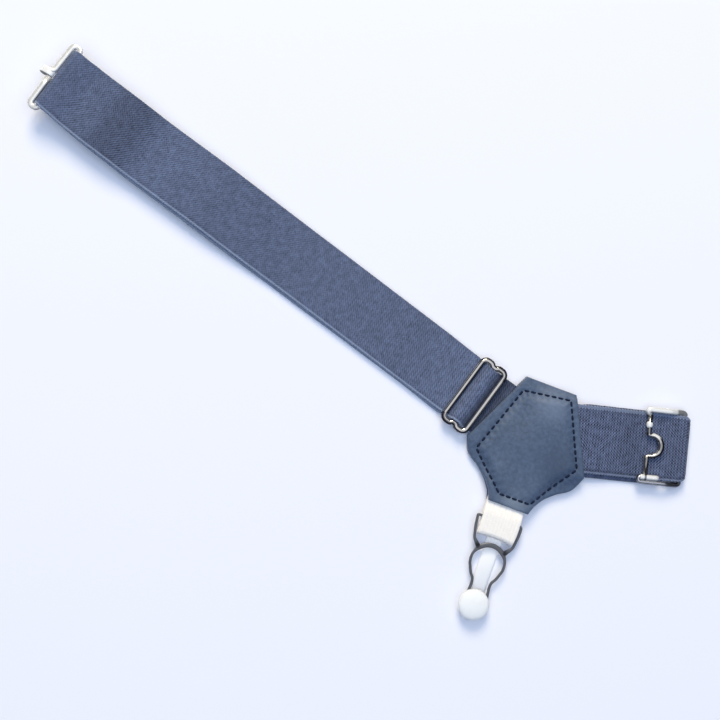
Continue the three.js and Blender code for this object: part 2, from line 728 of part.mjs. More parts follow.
const sockSuspender = new THREE.Group();
sockSuspender.add(
  placed(LONG, longStrap(), slider(), hook()),
  placed(SHORT, shortStrap(), eye()),
  patchBack(),
  patchFront(),
  placed(TAB, tab()),
  placed(CLIP, clipFrame()),
  placed(TONGUE, buttonTongue()),
);

export default sockSuspender;
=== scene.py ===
"""A sock suspender lying flat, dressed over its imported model: webbing, leather, wires, clip and stitching.

Lengths are millimetres. A strap or clip frame runs along u, across y and up z; pieces are built there and
then placed in the row frame, in metres. A table of values along a piece has rows of place and value.
"""

import math
from functools import reduce

import bmesh
import bpy
import numpy as np
from mathutils import Matrix, Vector


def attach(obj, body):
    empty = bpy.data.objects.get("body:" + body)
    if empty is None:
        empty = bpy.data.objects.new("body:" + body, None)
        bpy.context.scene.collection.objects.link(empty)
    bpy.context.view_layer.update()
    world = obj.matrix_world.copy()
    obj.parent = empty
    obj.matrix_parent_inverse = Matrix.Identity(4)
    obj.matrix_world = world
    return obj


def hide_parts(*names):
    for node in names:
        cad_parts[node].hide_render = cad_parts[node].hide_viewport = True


MM = 0.001
TURN = 2 * math.pi
# Steps of corners in degrees, and sides of wires and turned solids
ARC_STEP = 8
FINE_SIDES = 28
TURNED_SIDES = 64

# Each frame is its start's x and y and its turn in degrees
LONG = (-1.88, 1.17, 163.8)
SHORT = (-0.37, 2.93, 14.5)
TAB = (-1.05, 0, -88.3)
CLIP = (-0.8, -31, -86.5)
TONGUE = (0.1, -35, -89.2)
ROW = (0, 0, 0)

# Webbing, with its section from the edge inwards: distance from the edge and half thickness
WEB_HALF = 12.2
WEB_THICK = 1.1
WEB_EDGE = [
    (0, 0), (0.04, 0.2), (0.13, 0.36), (0.27, 0.49), (0.45, 0.56), (0.66, 0.54), (0.9, 0.47),
    (1.15, 0.48), (1.5, 0.53), (2.2, 0.55),
]
GAP = 0.3
LEATHER = 1.2
PLY_STEP = WEB_THICK + GAP
INNER_PLY = LEATHER + GAP + WEB_THICK / 2
STRAP_START = 4
STEP_U = 1
UNDER_STEP_U = 1.5
FOLD_STEPS = 18
# Near a fold the webbing is drawn in between two distances before its end, and its corners are rounded
FOLD_DRAW = 0.2
FOLD_FROM = 10
FOLD_FULL = 6.2
FOLD_CORNER = 3
# A straight ply ends this far before the fold's middle
FOLD_REST = 0.5

# Long strap: height above the surface, sideways place of its two plies, and how much wider it is
LONG_END = 212.95
LONG_CORNER = 0.9
LONG_LIFT = [(0, 0), (104, 0), (148, 2.8), (168, 3), (187, 5.1), (198, 5.2), (214, 6.2)]
LONG_UPPER = [
    (25, -0.12), (32, -0.45), (48, -0.55), (100, -0.65), (140, -0.4), (176, 0.05), (192, 0.1), (214, -0.25),
]
LONG_UNDER = [
    (25, -0.12), (32, 0.4), (48, -0.15), (70, -0.1), (100, 0.1), (140, 0.5), (172, 0.72), (184, 0.6),
    (214, -0.25),
]
LONG_SPREAD = [(36, 0), (46, 0.15), (100, 0.15), (120, 0.22), (188, 0.22), (208, 0)]
# Where its upper ply rises to the slider and to the fold, and where its lower ply lies flat again
PATCH_RISE_U = 13
HOOK_RISE_U = 200
UNDER_FLAT_U = 34
TAIL_END_ANGLE = 68
# How the slider draws each ply in: at its bars, at its notches besides, and how far from its middle these
# reach; then where the bars' pull ends, and how soon the notches' does
UPPER_PULL = (0.12, 0.45, 1)
LOWER_PULL = (0.4, 0.9, 2.6)
BAR_REACH = (4.5, 7.5)
NOTCH_FADE = 1.6

# Slider
SLIDER_U = 24.75
SLIDER_SHIFT = -0.12
SLIDER_WIRE = 1.05
SLIDER_Z = 3.85
SLIDER_HALF_U = 4.9
SLIDER_HALF_Y = 13.2
SLIDER_CORNER = 1.9
SLIDER_LEVEL = 2.5
NOTCH_HALF = 0.6
NOTCH_FLARE = 1
NOTCH_DEPTH = 0.85
NOTCH_RADIUS = 1.2
CENTRE_BAR = 0.7
CENTRE_BAR_Z = 2.3

# Hook, about its hinge: corners of its frame with their radii, and its wire's radius along u
HOOK_WIRE = 0.75
HOOK_SHIFT = -0.35
HOOK_DROOP = 17
HOOK_CORNERS = [
    (3.8, 1.1, 0, 0), (3.8, 5, 0, 8), (3.6, 13.15, 0, 1.6), (0, 13.15, 0, 1.6), (0, -13.15, 0, 1.6),
    (3.6, -13.15, 0, 1.6), (3.6, -1.3, 0.3, 1.9), (6.3, -0.5, 0.9, 0),
]
HOOK_RADII = [(1.4, 0.88), (3.6, 1.14), (4.2, 1.14), (6.2, 0.54)]
HOOK_ROUNDNESS = 0.62
# Its curled end, a flat bar
CURL_PATH = [
    (3.1, -0.2), (3.5, 0.7), (4.5, 1.15), (6, 1.15), (7.3, 0.75),
    (7.95, 0), (7.8, -0.9), (6.9, -1.4), (5.2, -1.45),
]
CURL_U = 3.2
CURL_Y = -0.4
CURL_LEAN = 0.1
CURL_HALF = 1.45
CURL_THICK = 1
CURL_EDGE = [(0, 0), (0.05, 0.18), (0.15, 0.33), (0.3, 0.46), (0.5, 0.55)]

# Short strap
SHORT_END = 57.95
SHORT_CORNER = 3.4
SHORT_WIDER = 0.25
SHORT_SINK = (19, 34)
SHORT_PART_U = 48.5
SHORT_UPPER = [(38, -0.05), (53, 0.1)]
SHORT_UNDER = [(40, -0.6), (53, 0.05)]
SHORT_SPREAD = [(14, 0), (20, 0.95), (42, 0.95), (50, 0)]

# Eye
EYE_WIRE = 0.78
EYE_HALF = 13.3
EYE_CROSS_U = 42.5
EYE_Z_TOP = 3.75
EYE_EAR_LOW = 40.1
EYE_EAR_HIGH = 41.6
EYE_EAR_RADIUS = 0.9
EYE_INSIDE = EYE_HALF - 2 * EYE_EAR_RADIUS
EYE_CREST_U = 50
EYE_CREST_RADIUS = 3
EYE_BAR_RADIUS = 1.4
# Its two sides: which side, ear, start of the wire, radius and roundness; they thin out inside the fold
EYE_SIDES = {
    "eye_top_side": (1, EYE_EAR_HIGH, 42.6, 1, 0.7),
    "eye_low_side": (-1, EYE_EAR_LOW, 41.6, 0.85, 1),
}
EYE_THIN = (12, 12.6)
# Its free end
TAIL_SPAN = (EYE_EAR_LOW + 0.6, 47.6)
TAIL_RADII = [(46.9, 0.95), (47.6, 0.65)]
TAIL_ROUNDNESS = 0.75
# The bow of its cross wire, thicker than the rest
BOW_RADIUS = 3.85
BOW_U = 43.65
BOW_Y = 0.1
BOW_RADII = [(0.1, 0.83), (1.5, 1.1)]
# The lump of solder, and its half sizes along u, y and z
BEAD = (42.4, 7.7, EYE_Z_TOP + 0.05)
BEAD_SIZE = (1.2, 1.45, 1)

# Tab; its hollow is a polynomial across it of how far its folded end is drawn out
TAB_HALF = 6.85
TAB_HALVES = [(33, 7.15), (37.75, 6.8)]
TAB_THICK = 1
TAB_SHIFT = -0.5
TAB_START = 14
TAB_END = 37.75
TAB_BACK_Z = 2.1
TAB_RISE = (25.5, 30)
TAB_STEP = 0.8
TAB_EDGE = [(0, 0), (0.05, 0.22), (0.16, 0.39), (0.32, 0.5), (0.55, 0.55)]
HOLLOW_FROM = 31
HOLLOW = (0.5, 0.2, 0.05)

# Clip: arms with their radii, keyhole loop, and the section of its flat bar with its soft edges
CLIP_Z = 3.35
CLIP_SLOPE = 2.5
CLIP_THICK = 0.9
CLIP_BAR = 0.95
CLIP_CROSS = 1.7
CLIP_ARM = [(3.6, 8.15, 6), (8.4, 7.3, 3), (11.5, 4.6, 0)]
CLIP_CORNERS = [(0, 8.25, 0, 0.9), (0, -8.4, 0, 0.35)]
CLIP_FOOT = 1.9
CLIP_FOOT_U = (8, 11.5)
LOOP_U = 15.85
LOOP_RADIUS = 6.35
LOOP_WIDE_U = (11.1575, 13.5575)
NECK = [(20.9, 4.75), (22.7, 3.6), (24.8, 3.35), (27.5, 3.6)]
BULB_U = 31.1
BULB_RADIUS = 4
BAR_SOFT = 0.22
BAR_SECTION = [
    (-1, -1, 0, 1), (-1, 1, 0, -1), (-1, 1, 0.3, -0.3), (-1, 1, 1, 0), (1, 1, -1, 0), (1, 1, -0.3, -0.3),
    (1, 1, 0, -1), (1, -1, 0, 1), (1, -1, -0.3, 0.3), (1, -1, -1, 0), (-1, -1, 1, 0), (-1, -1, 0.3, 0.3),
]

# Rubber tongue and button: insets and heights, and turned profiles of radius and height
BUTTON_U = 27.7
TONGUE_HALF = 3
TONGUE_LAYERS = [(0.25, 0), (0.06, 0.07), (0, 0.2), (0.1, 0.45), (0.35, 0.75), (0.8, 0.98), (1.5, 1.1)]
BASE_PROFILE = [
    (0.01, 0), (4.4, 0), (4.63, 0.08), (4.7, 0.3), (4.7, 0.8), (4.63, 1.02), (4.4, 1.1), (0.01, 1.1),
]
STEM_PROFILE = [
    (0.01, 0.9), (2.4, 0.9), (2.4, 2.7), (2.65, 2.95), (5, 2.95), (5.35, 3.02), (5.6, 3.25), (5.7, 3.6),
    (5.6715, 4),
]
DOME_RADIUS = 5.586
DOME_BULGE = 0.8
DOME_Z = 4.2
BUTTON_TOP = 5.9

# Leather patch: the right half of its outline, where its stitching turns, and its cut edges
PATCH_RIGHT = [
    (9.6, 21.6), (22.6, -6), (21, -10.4), (18.9, -12.8), (15.7, -14.8),
    (13.2, -16.9), (11.1, -19), (8.9, -22), (7.7, -25.4),
]
PATCH_REACH = 22
PATCH_STEPS = 320
BACK_STEPS = 240
BACK_LAYERS = [(0.25, 0), (0.06, 0.06), (0, 0.22), (0, 0.98), (0.06, 1.14), (0.25, 1.2)]
RIM = [(0.96, 0), (0.975, 0.03), (0.985, 0.1), (0.993, 0.22), (1, 0.42)]
RIM_START = 0.94
RIM_UNDERCUT = 0.22
PATCH_ROWS = 46
# What the top leather covers: frame, start, half width, how much wider it is cleared, and its height
COVERED = [
    (LONG, STRAP_START, WEB_HALF, 0, PLY_STEP),
    (SHORT, STRAP_START, WEB_HALF, 0, 2 * PLY_STEP),
    (TAB, TAB_START, TAB_HALF, 1.2, 2 * (TAB_THICK + GAP)),
]
COVER_SIDE = (1, 2.8)
COVER_START = (-4, -1)
# The skin that is stretched over that: its grid, its crown and its lowered rim, by share of the outline
SKIN_SPAN = 27
SKIN_CELLS = 109
SKIN_STRETCHES = 220
SKIN_SOFTENINGS = 16
PATCH_CROWN = 3.3
CROWN_FADE = (0.1, 0.95)
LOWERED = 0.75
LOWERED_FROM = (0.72, 0.98)
LOWERED_CLEAR = 1.8
# Seam: groove, padding inside it, puckers of the padding, and the flare at the tab
STITCH_CORNERS = [(-9.35, 16.3), (8.2, 18.8), (18.8, -4), (7, -21.8), (-4.9, -22), (-18.2, -9.3)]
STITCH_PITCH = 2.6
STITCH_LENGTH = 1.65
STITCH_WIRE = 0.4
STITCH_RISE = 0.2
STITCH_DIP = 0.6
SEAM_DEPTH = 0.4
SEAM_PULL = 0.3
SEAM_WIDTH = 0.75
PAD = 0.65
PAD_REACH = (0.1, 3.2)
PUCKER = 0.12
PUCKER_INSIDE = 1.1
FLARE = 0.1
FLARE_Y = (22.4, 25.2)
SKIN_SINK = 0.15

# Weave: pitch of its picks, colours of its edge lines, and the length that its tables span
WEAVE_PITCH = 1.09
TABLE_LENGTH = 220
# paler selvedge, lightened further as painted light on its rounded edge
SELVEDGE_AND_LIGHT = (0.33, 0.4, 0.56)
# painted light on the second ply's edge, where the first ply shades it
LOW_EDGE_LIGHT = (0.29, 0.34, 0.45)
# painted shade in the groove just inside an edge
GROOVE_SHADE = (0.03, 0.04, 0.075)
# Each line along an edge: first ply or second, middle across, half width, fade-out, share and colour
LONG_WEAVE = {
    "colour": (0.099, 0.126, 0.212), "strength": 0.34, "uneven": 0.75, "patchy": 0.26, "under_from": 211,
    "ribs": [(0, 0.7), (60, 0.45), (90, 0.3), (150, 0.3), (175, 0.28), (210, 0.28)],
    "leans": [(0, 0.8), (80, 0.85), (120, 0.3), (170, 0.15), (185, 0.3), (210, 0.35)],
    "reliefs": [
        (0, 0.75), (60, 0.65), (90, 0.5), (130, 0.5), (155, 0.65), (180, 1.05), (197, 1), (206, 0.8),
    ],
    # painted shade and light along the strap: shadow beside the slider's right bar, lighter over its middle,
    # and near the hook lighter, then darker where the strap rises away from the lamp
    "painted_shades": [
        (0, 0.72), (9, 0.64), (14, 0.42), (18, 0.62), (21.5, 1.03), (30, 1.1), (42, 1.03), (52, 0.98),
        (75, 1), (140, 0.97), (150, 1.02), (159, 1.07), (167, 1.04), (180, 0.73), (186, 0.71),
        (193, 0.94), (200, 0.99),
    ],
    "lines": [
        (0, 12.2, 0.5, 1, 0.55, SELVEDGE_AND_LIGHT), (1, 12.2, 0.7, 1.3, 0.7, LOW_EDGE_LIGHT),
        (0, 10.8, 0.1, 0.5, 0.12, GROOVE_SHADE),
    ],
}
SHORT_WEAVE = {
    "colour": (0.085, 0.107, 0.183), "strength": 0.66, "uneven": 1.1, "patchy": 0.12, "under_from": 53.5,
    "ribs": [(0, 0.4), (60, 0.4)],
    "leans": [(0, 0.5), (200, 0.5)],
    "reliefs": [(0, 1), (60, 1)],
    # painted shade along the strap, darkest just before the eye
    "painted_shades": [(0, 1), (24, 1), (33, 0.84), (40, 0.95), (60, 0.92)],
    "lines": [
        (0, 12.2, 1, 1.5, 0.3, SELVEDGE_AND_LIGHT), (0, 10.3, 0.1, 0.5, 0.12, GROOVE_SHADE),
        (0, -12.1, 0.4, 0.9, 0.3, SELVEDGE_AND_LIGHT), (0, -10.9, 0.2, 0.6, 0.45, GROOVE_SHADE),
    ],
}
CREAM_RIB = 1.15
CREAM_PICK = 0.8

# Leather's tone, its cut edge, and its spots of painted highlight and shade: place, reach, share and colour
LEATHER_TONE = (0.074, 0.11, 0.184)
CUT_EDGE = (0.17, 0.2, 0.27)
PAINTED_LEATHER_LIGHT = [
    ((2.5, 15), 10, 0.36, (0.24, 0.3, 0.42)), ((12, -5), 12, 0.5, (0.035, 0.055, 0.1)),
    ((1, -24), 8, 0.38, (0.28, 0.34, 0.42)), ((-12, 6), 6, 0.12, (0.2, 0.26, 0.36)),
]

# Metals: colour, roughness, metallic, rim's tint, and places of painted dark reflection and shade. Each of
# these is a middle, half and fade-out round the wire in radians, the same along it, and its share
# colour of the painted dark reflections and shade on the wires
DARK_REFLECTION = (0.038, 0.043, 0.062)
NICKEL = (0.97, 0.97, 0.96)
ALL_ROUND = (3.14, 4, 5)
ALL_ALONG = (50, 90, 99)
METALS = {
    "chrome_wire": ((0.86, 0.84, 0.82), 0.16, 1, 0.3, [
        ((1.25, 0.6, 1.05), (6.2, 5.7, 8), 0.94), ((1.35, 0.4, 0.85), (23.8, 11.5, 13.5), 0.88),
        ((1.25, 0.6, 1.05), (41.3, 5.7, 8), 0.94), ((5.6, 0.35, 0.65), (58.9, 11.5, 13.5), 0.85),
        ((4.8, 0.3, 0.7), (6.2, 5.2, 7), 0.6), ((4.8, 0.3, 0.7), (41.3, 5.2, 7), 0.6),
        ((0.75, 0.7, 1.3), (3, 3, 4.6), 0.75), ((0.75, 0.7, 1.3), (36.8, 2.2, 3.8), 0.75),
    ]),
    "nickel_hook": (NICKEL, 0.25, 0.5, 0.4, [
        ((1.75, 0.1, 0.7), ALL_ALONG, 0.4), ((1.8, 0.4, 0.9), (12.7, 1.6, 3), 0.9),
        ((4.6, 0.4, 0.9), (6, 4.5, 6), 0.5), ((1.6, 0.3, 0.9), (62, 5, 7), 0.3),
    ]),
    "nickel_curl": (NICKEL, 0.3, 0.2, 0.5, [((1.45, 0.15, 0.55), ALL_ALONG, 0.85)]),
    "chrome_cross": ((0.93, 0.92, 0.9), 0.22, 1, 0.3, [
        ((1.2, 0.75, 1.3), (6, 11, 13), 0.96), ((5, 0.7, 1.3), (20, 2.5, 3.5), 0.9),
        ((1.2, 0.75, 1.3), (30, 7.5, 8.5), 0.96), (ALL_ROUND, (2, 5, 6.5), 0.55),
        (ALL_ROUND, (14.8, 1.2, 2.4), 0.5), (ALL_ROUND, (27.5, 4.6, 5.2), 0.55),
    ]),
    "nickel_top": ((0.96, 0.96, 0.95), 0.25, 0.45, 0.5, [
        ((1.7, 0.2, 0.7), ALL_ALONG, 0.7), (ALL_ROUND, (22, 8.6, 9.8), 0.76),
        (ALL_ROUND, (0, 0.6, 1.6), 0.6),
    ]),
    "nickel_tail": (NICKEL, 0.25, 0.45, 0.5, [
        (ALL_ROUND, (1.9, 0.15, 0.6), 0.8), ((1.7, 0.2, 0.7), ALL_ALONG, 0.6),
    ]),
    # the eye's low side: a darker, bluish copy of the chrome, a painted reflection of the strap and shade
    "shaded_chrome_low": ((0.6, 0.64, 0.74), 0.25, 1, 0.3, [
        ((1.6, 0.3, 1), ALL_ALONG, 0.8), (ALL_ROUND, (22, 8, 11), 0.7),
    ]),
    "metal_dark": ((0.2, 0.215, 0.25), 0.42, 1, 0.3, []),
    "solder_bright": (NICKEL, 0.3, 0.25, 0.5, []),
}
# Painted highlight on the cross wire: where it turns pale, along it, and how much less metallic it is there
CROSS_HIGHLIGHT = (19.8, 1.4, 2.6)
HIGHLIGHT_SHARE = 0.7

# Camera: the middle of the picture, its own place, and the way that is up in the picture
MIDDLE = Vector((-0.0688, 0.0057, 0))
CAMERA_PLACE = Vector((-0.0999, -0.0252, 0.5181))
PICTURE_UP = Vector((-0.352, 0.936, 0))
LENS = 71.5
SENSOR = 36
CLIP_RANGE = (0.01, 20)

# Room: floor, lamps, and the ceiling by the sine of the height above the horizon
FLOOR_HALF = 2.5
FLOOR_Z = -0.00006
FLOOR_COLOUR = (0.86, 0.875, 0.965)
LAMP_PLACE = (-0.1, 1.6, 1.4)
LAMP = (1, 35.5, (1, 0.87, 0.63))
FILL_PLACE = (0, 0, 1.1)
FILL = (1.8, 8.6, (0.55, 0.75, 1.06))
CEILING = [(0, 0.25), (0.1, 0.15), (0.25, 0.05), (0.7, 0.05), (0.82, 0.64), (1, 0.68)]
CEILING_TINT = (0.96, 0.98, 1.04)


def ease(x, low, high):
    """A smooth step from 0 at low to 1 at high."""
    share = np.clip((np.asarray(x, float) - low) / (high - low), 0, 1)
    return share * share * (3 - 2 * share)


def mix(a, b, share):
    return a + (b - a) * share


def from_table(rows, x):
    """Values of a short table at x, eased from row to row."""
    x = np.asarray(x, float)
    value = np.full(x.shape, float(rows[0][1]))
    for (x0, y0), (x1, y1) in zip(rows, rows[1:]):
        value = value + (y1 - y0) * ease(x, x0, x1)
    return value


def arc(centre_u, centre_z, radius, start, end, steps):
    """Points of u and z on an arc, with angles in degrees from +u towards +z."""
    turn = np.radians(np.linspace(start, end, steps + 1))
    return np.column_stack((centre_u + radius * np.cos(turn), centre_z + radius * np.sin(turn)))


def run(start, end, step, height):
    """Points of u and z at even steps, at a height that is a function of u."""
    u = np.linspace(start, end, max(2, round(abs(end - start) / step) + 1))
    return np.column_stack((u, height(u)))


def level(plan, z):
    """Points of a plan, all at one height."""
    return np.column_stack((plan, np.full(len(plan), z)))


def rounded(corners):
    """A polyline whose corners, each x, y, z and radius, are turned on true arcs."""
    points = []
    for i, (x, y, z, radius) in enumerate(corners):
        here = Vector((x, y, z))
        if radius == 0:
            points.append(here)
            continue
        before = (Vector(corners[i - 1][:3]) - here).normalized()
        after = (Vector(corners[(i + 1) % len(corners)][:3]) - here).normalized()
        opening = before.angle(after)
        turn = math.pi - opening
        reach = radius / math.tan(opening / 2)
        middle = here + (before + after).normalized() * (radius / math.sin(opening / 2))
        first = here + before * reach - middle
        last = here + after * reach - middle
        steps = max(3, round(math.degrees(turn) / ARC_STEP))
        for share in np.arange(steps + 1) / steps:
            swing = first * math.sin((1 - share) * turn) + last * math.sin(share * turn)
            points.append(middle + swing / math.sin(turn))
    return np.array(points)


def spline(points, steps, is_loop=False):
    """A Catmull-Rom curve through points, with steps points to a stretch."""
    p = np.asarray(points, float)
    p = np.vstack((p[-1:], p, p[:2])) if is_loop else np.vstack((p[:1], p, p[-1:]))
    a, b, c, d = [p[k:len(p) - 3 + k, None] for k in range(4)]
    t = np.arange(steps)[:, None] / steps
    curve = b + ((c - a) * t + (2 * a - 5 * b + 4 * c - d) * t**2 + (3 * b - a - 3 * c + d) * t**3) / 2
    curve = curve.reshape(-1, p.shape[1])
    return curve if is_loop else np.vstack((curve, p[-1:]))


def new_object(name, data):
    obj = bpy.data.objects.new(name, data)
    bpy.context.scene.collection.objects.link(obj)
    return obj


class Shape:
    """Vertices, faces and their UVs, gathered from one or more lofts."""

    def __init__(self):
        self.points = []
        self.faces = []
        self.uvs = []

    def loft(self, sections, along, across, is_loop=False):
        """A skin over closed sections. across has one value more than a section's points, for its way
        round, and along has one for each section, and one more for a loop."""
        sections = np.asarray(sections)
        rows, count = sections.shape[:2]
        start = len(self.points)
        self.points += [tuple(p) for p in sections.reshape(-1, 3)]
        for r in range(rows if is_loop else rows - 1):
            near, far = start + r * count, start + (r + 1) % rows * count
            for k in range(count):
                m = (k + 1) % count
                self.faces.append([near + k, near + m, far + m, far + k])
                self.uvs += [(along[r], across[k]), (along[r], across[k + 1])]
                self.uvs += [(along[r + 1], across[k + 1]), (along[r + 1], across[k])]
        if not is_loop:
            last = start + (rows - 1) * count
            self.faces.append([start + k for k in range(count)][::-1])
            self.faces.append([last + k for k in range(count)])
            self.uvs += [(along[0], across[k]) for k in range(count)][::-1]
            self.uvs += [(along[-1], across[k]) for k in range(count)]

    def tilt(self, degrees, u0, y0, z0):
        """Turns the shape's +u end down about the origin, and moves it to its place."""
        c, s = math.cos(math.radians(degrees)), math.sin(math.radians(degrees))
        u, y, z = np.array(self.points).T
        self.points = np.column_stack((u0 + u * c + z * s, y0 + y, z0 - u * s + z * c))

    def piece(self, name, material, frame=ROW):
        """The gathered shape as an object in the row frame, its faces turned outwards."""
        x, y, angle = frame
        c, s = math.cos(math.radians(angle)), math.sin(math.radians(angle))
        u, v, z = np.array(self.points).T
        corners = MM * np.column_stack((x + u * c - v * s, y + u * s + v * c, z))
        data = bpy.data.meshes.new(name)
        data.from_pydata(corners.tolist(), [], self.faces)
        data.uv_layers.new(name="cut").data.foreach_set("uv", np.array(self.uvs, float).ravel())
        data.materials.append(material)
        data.polygons.foreach_set("use_smooth", [True] * len(data.polygons))
        outwards = bmesh.new()
        outwards.from_mesh(data)
        bmesh.ops.recalc_face_normals(outwards, faces=outwards.faces)
        outwards.to_mesh(data)
        outwards.free()
        return new_object(name, data)


def directions(points, is_loop):
    """Unit directions along a polyline, by central differences."""
    if is_loop:
        along = np.roll(points, -1, axis=0) - np.roll(points, 1, axis=0)
    else:
        along = np.gradient(points, axis=0)
    return along / np.linalg.norm(along, axis=1, keepdims=True)


def lengths(points, is_loop=False):
    """Length along a polyline up to each of its points, and once round where it is a loop."""
    p = np.asarray(points, float)
    if is_loop:
        p = np.vstack((p, p[:1]))
    return np.concatenate(([0], np.cumsum(np.linalg.norm(np.diff(p, axis=0), axis=1))))


def add_wire(shape, points, radius, sides=20, is_loop=False, roundness=1.0):
    """A wire along points. Its radius is one number, or one for each point, and its section is a circle,
    or flatter above and at its sides where roundness is less than 1."""
    radii = np.broadcast_to(radius, len(points))
    side = np.array([0.0, 0.0, 1.0])
    turn = TURN * np.arange(sides) / sides
    rise, reach = [np.sign(v) * np.abs(v) ** roundness for v in (np.cos(turn), np.sin(turn))]
    sections = []
    for point, way, thick in zip(points, directions(points, is_loop), radii):
        side = side - way * side.dot(way)
        side = side / np.linalg.norm(side)
        sections.append(point + thick * (np.outer(rise, side) + np.outer(reach, np.cross(way, side))))
    shape.loft(sections, lengths(points, is_loop), np.linspace(0, TURN, sides + 1), is_loop)


def add_ribbon(shape, path, y, half, full_half=WEB_HALF, thick=WEB_THICK, edge=WEB_EDGE, inner=9):
    """A band along a path of u and z. y and half are its middle and half width, point by point; its UVs
    keep the full half width where it is drawn in."""
    margin = full_half - edge[-1][0]
    scale = thick / WEB_THICK
    top = [(d - full_half, h * scale) for d, h in edge]
    top += [(v, thick / 2) for v in np.linspace(-margin, margin, inner + 2)[1:-1]]
    top += [(full_half - d, h * scale) for d, h in reversed(edge)]
    across, up = np.array(top + [(v, -h) for v, h in reversed(top[1:-1])]).T
    sections = []
    for (u, z), (du, dz), middle, wide in zip(path, directions(path, False), y, half):
        sections.append(np.column_stack((u - dz * up, middle + across * wide / full_half, z + du * up)))
    shape.loft(sections, lengths(path), [*across, across[0]])


def fold_radius(wire):
    """Radius of the middle of the webbing round a wire."""
    return wire + GAP + WEB_THICK / 2


def fold_half(u, end, corner):
    """Half width near a fold: drawn in between the wire's ends, with rounded corners."""
    share = np.clip((u - (end - FOLD_CORNER)) / FOLD_CORNER, 0, 1)
    drawn = FOLD_DRAW * ease(u, end - FOLD_FROM, end - FOLD_FULL)
    return WEB_HALF - drawn - corner * (1 - np.sqrt(1 - share * share))


HOOK_U = LONG_END - WEB_THICK - GAP - HOOK_WIRE
HOOK_Z = WEB_THICK / 2 + fold_radius(HOOK_WIRE) + float(from_table(LONG_LIFT, LONG_END))
EYE_U = SHORT_END - WEB_THICK - GAP - EYE_WIRE
EYE_Z = WEB_THICK / 2 + fold_radius(EYE_WIRE)


def drawn_in(u, at_bars, at_notch, within):
    """Half width of the long strap, which the slider draws in between its bars and most at its notches."""
    away = np.abs(u - SLIDER_U)
    bars = at_bars * (1 - ease(away, *BAR_REACH))
    notches = at_notch * (1 - ease(away, within, within + NOTCH_FADE))
    at_fold = fold_half(np.minimum(u, HOOK_U), LONG_END, LONG_CORNER)
    return np.minimum(WEB_HALF - bars - notches, at_fold) + from_table(LONG_SPREAD, u)


def long_strap(material):
    radius = fold_radius(HOOK_WIRE)
    tail = fold_radius(CENTRE_BAR)
    over = tail + PLY_STEP
    under = fold_radius(SLIDER_WIRE)
    rise = SLIDER_Z - CENTRE_BAR_Z
    slope = math.degrees(
        math.asin((over + under) / math.hypot(SLIDER_HALF_U, rise)) - math.atan2(rise, SLIDER_HALF_U)
    )
    left = SLIDER_U + SLIDER_HALF_U
    right = SLIDER_U - SLIDER_HALF_U
    level_u = right - SLIDER_LEVEL
    upper_z = SLIDER_Z - under

    def inner_height(u):
        return mix(INNER_PLY, upper_z, ease(u, PATCH_RISE_U, level_u))

    def upper_height(u):
        parting = mix(upper_z, WEB_THICK / 2 + 2 * radius, ease(u, HOOK_RISE_U, HOOK_U))
        return parting + from_table(LONG_LIFT, u)

    def lower_height(u):
        sinking = mix(CENTRE_BAR_Z - tail, WEB_THICK / 2, ease(u, SLIDER_U, UNDER_FLAT_U))
        return sinking + from_table(LONG_LIFT, u)

    upper = np.vstack((
        run(STRAP_START, level_u, STEP_U, inner_height)[:-1],
        arc(right, SLIDER_Z, under, -90, -90 + slope, 8)[:-1],
        arc(SLIDER_U, CENTRE_BAR_Z, over, 90 + slope, 90 - slope, 20)[:-1],
        arc(left, SLIDER_Z, under, -90 - slope, -90, 8),
        run(left + STEP_U, HOOK_U - FOLD_REST, STEP_U, upper_height),
    ))
    fold = arc(HOOK_U, HOOK_Z, radius, 90, -90, FOLD_STEPS)
    lower = np.vstack((
        run(HOOK_U - FOLD_REST, SLIDER_U + STEP_U, UNDER_STEP_U, lower_height),
        arc(SLIDER_U, CENTRE_BAR_Z, tail, 270, TAIL_END_ANGLE, FOLD_STEPS),
    ))
    y = np.concatenate((
        from_table(LONG_UPPER, upper[:, 0]),
        np.full(len(fold), from_table(LONG_UPPER, LONG_END)),
        from_table(LONG_UNDER, lower[:, 0]),
    ))
    half = np.concatenate((
        drawn_in(upper[:, 0], *UPPER_PULL),
        fold_half(fold[:, 0], LONG_END, LONG_CORNER),
        drawn_in(lower[:, 0], *LOWER_PULL),
    ))
    shape = Shape()
    add_ribbon(shape, np.vstack((upper, fold, lower)), y, half)
    return shape.piece("strap_long", material, LONG)


def short_strap(material):
    radius = fold_radius(EYE_WIRE)

    def lower_height(u):
        return mix(INNER_PLY, WEB_THICK / 2, ease(u, *SHORT_SINK))

    def upper_height(u):
        return lower_height(u) + mix(PLY_STEP, 2 * radius, ease(u, SHORT_PART_U, EYE_U))

    upper = np.vstack((
        run(STRAP_START, EYE_U - FOLD_REST, STEP_U, upper_height),
        arc(EYE_U, EYE_Z, radius, 90, -90, FOLD_STEPS),
    ))
    lower = run(EYE_U - FOLD_REST, STRAP_START, STEP_U, lower_height)
    path = np.vstack((upper, lower))
    y = np.concatenate((from_table(SHORT_UPPER, upper[:, 0]), from_table(SHORT_UNDER, lower[:, 0])))
    spread = np.concatenate((np.zeros(len(upper)), from_table(SHORT_SPREAD, lower[:, 0])))
    half = fold_half(path[:, 0], SHORT_END, SHORT_CORNER) + SHORT_WIDER + spread
    shape = Shape()
    add_ribbon(shape, path, y, half)
    return shape.piece("strap_short", material, SHORT)


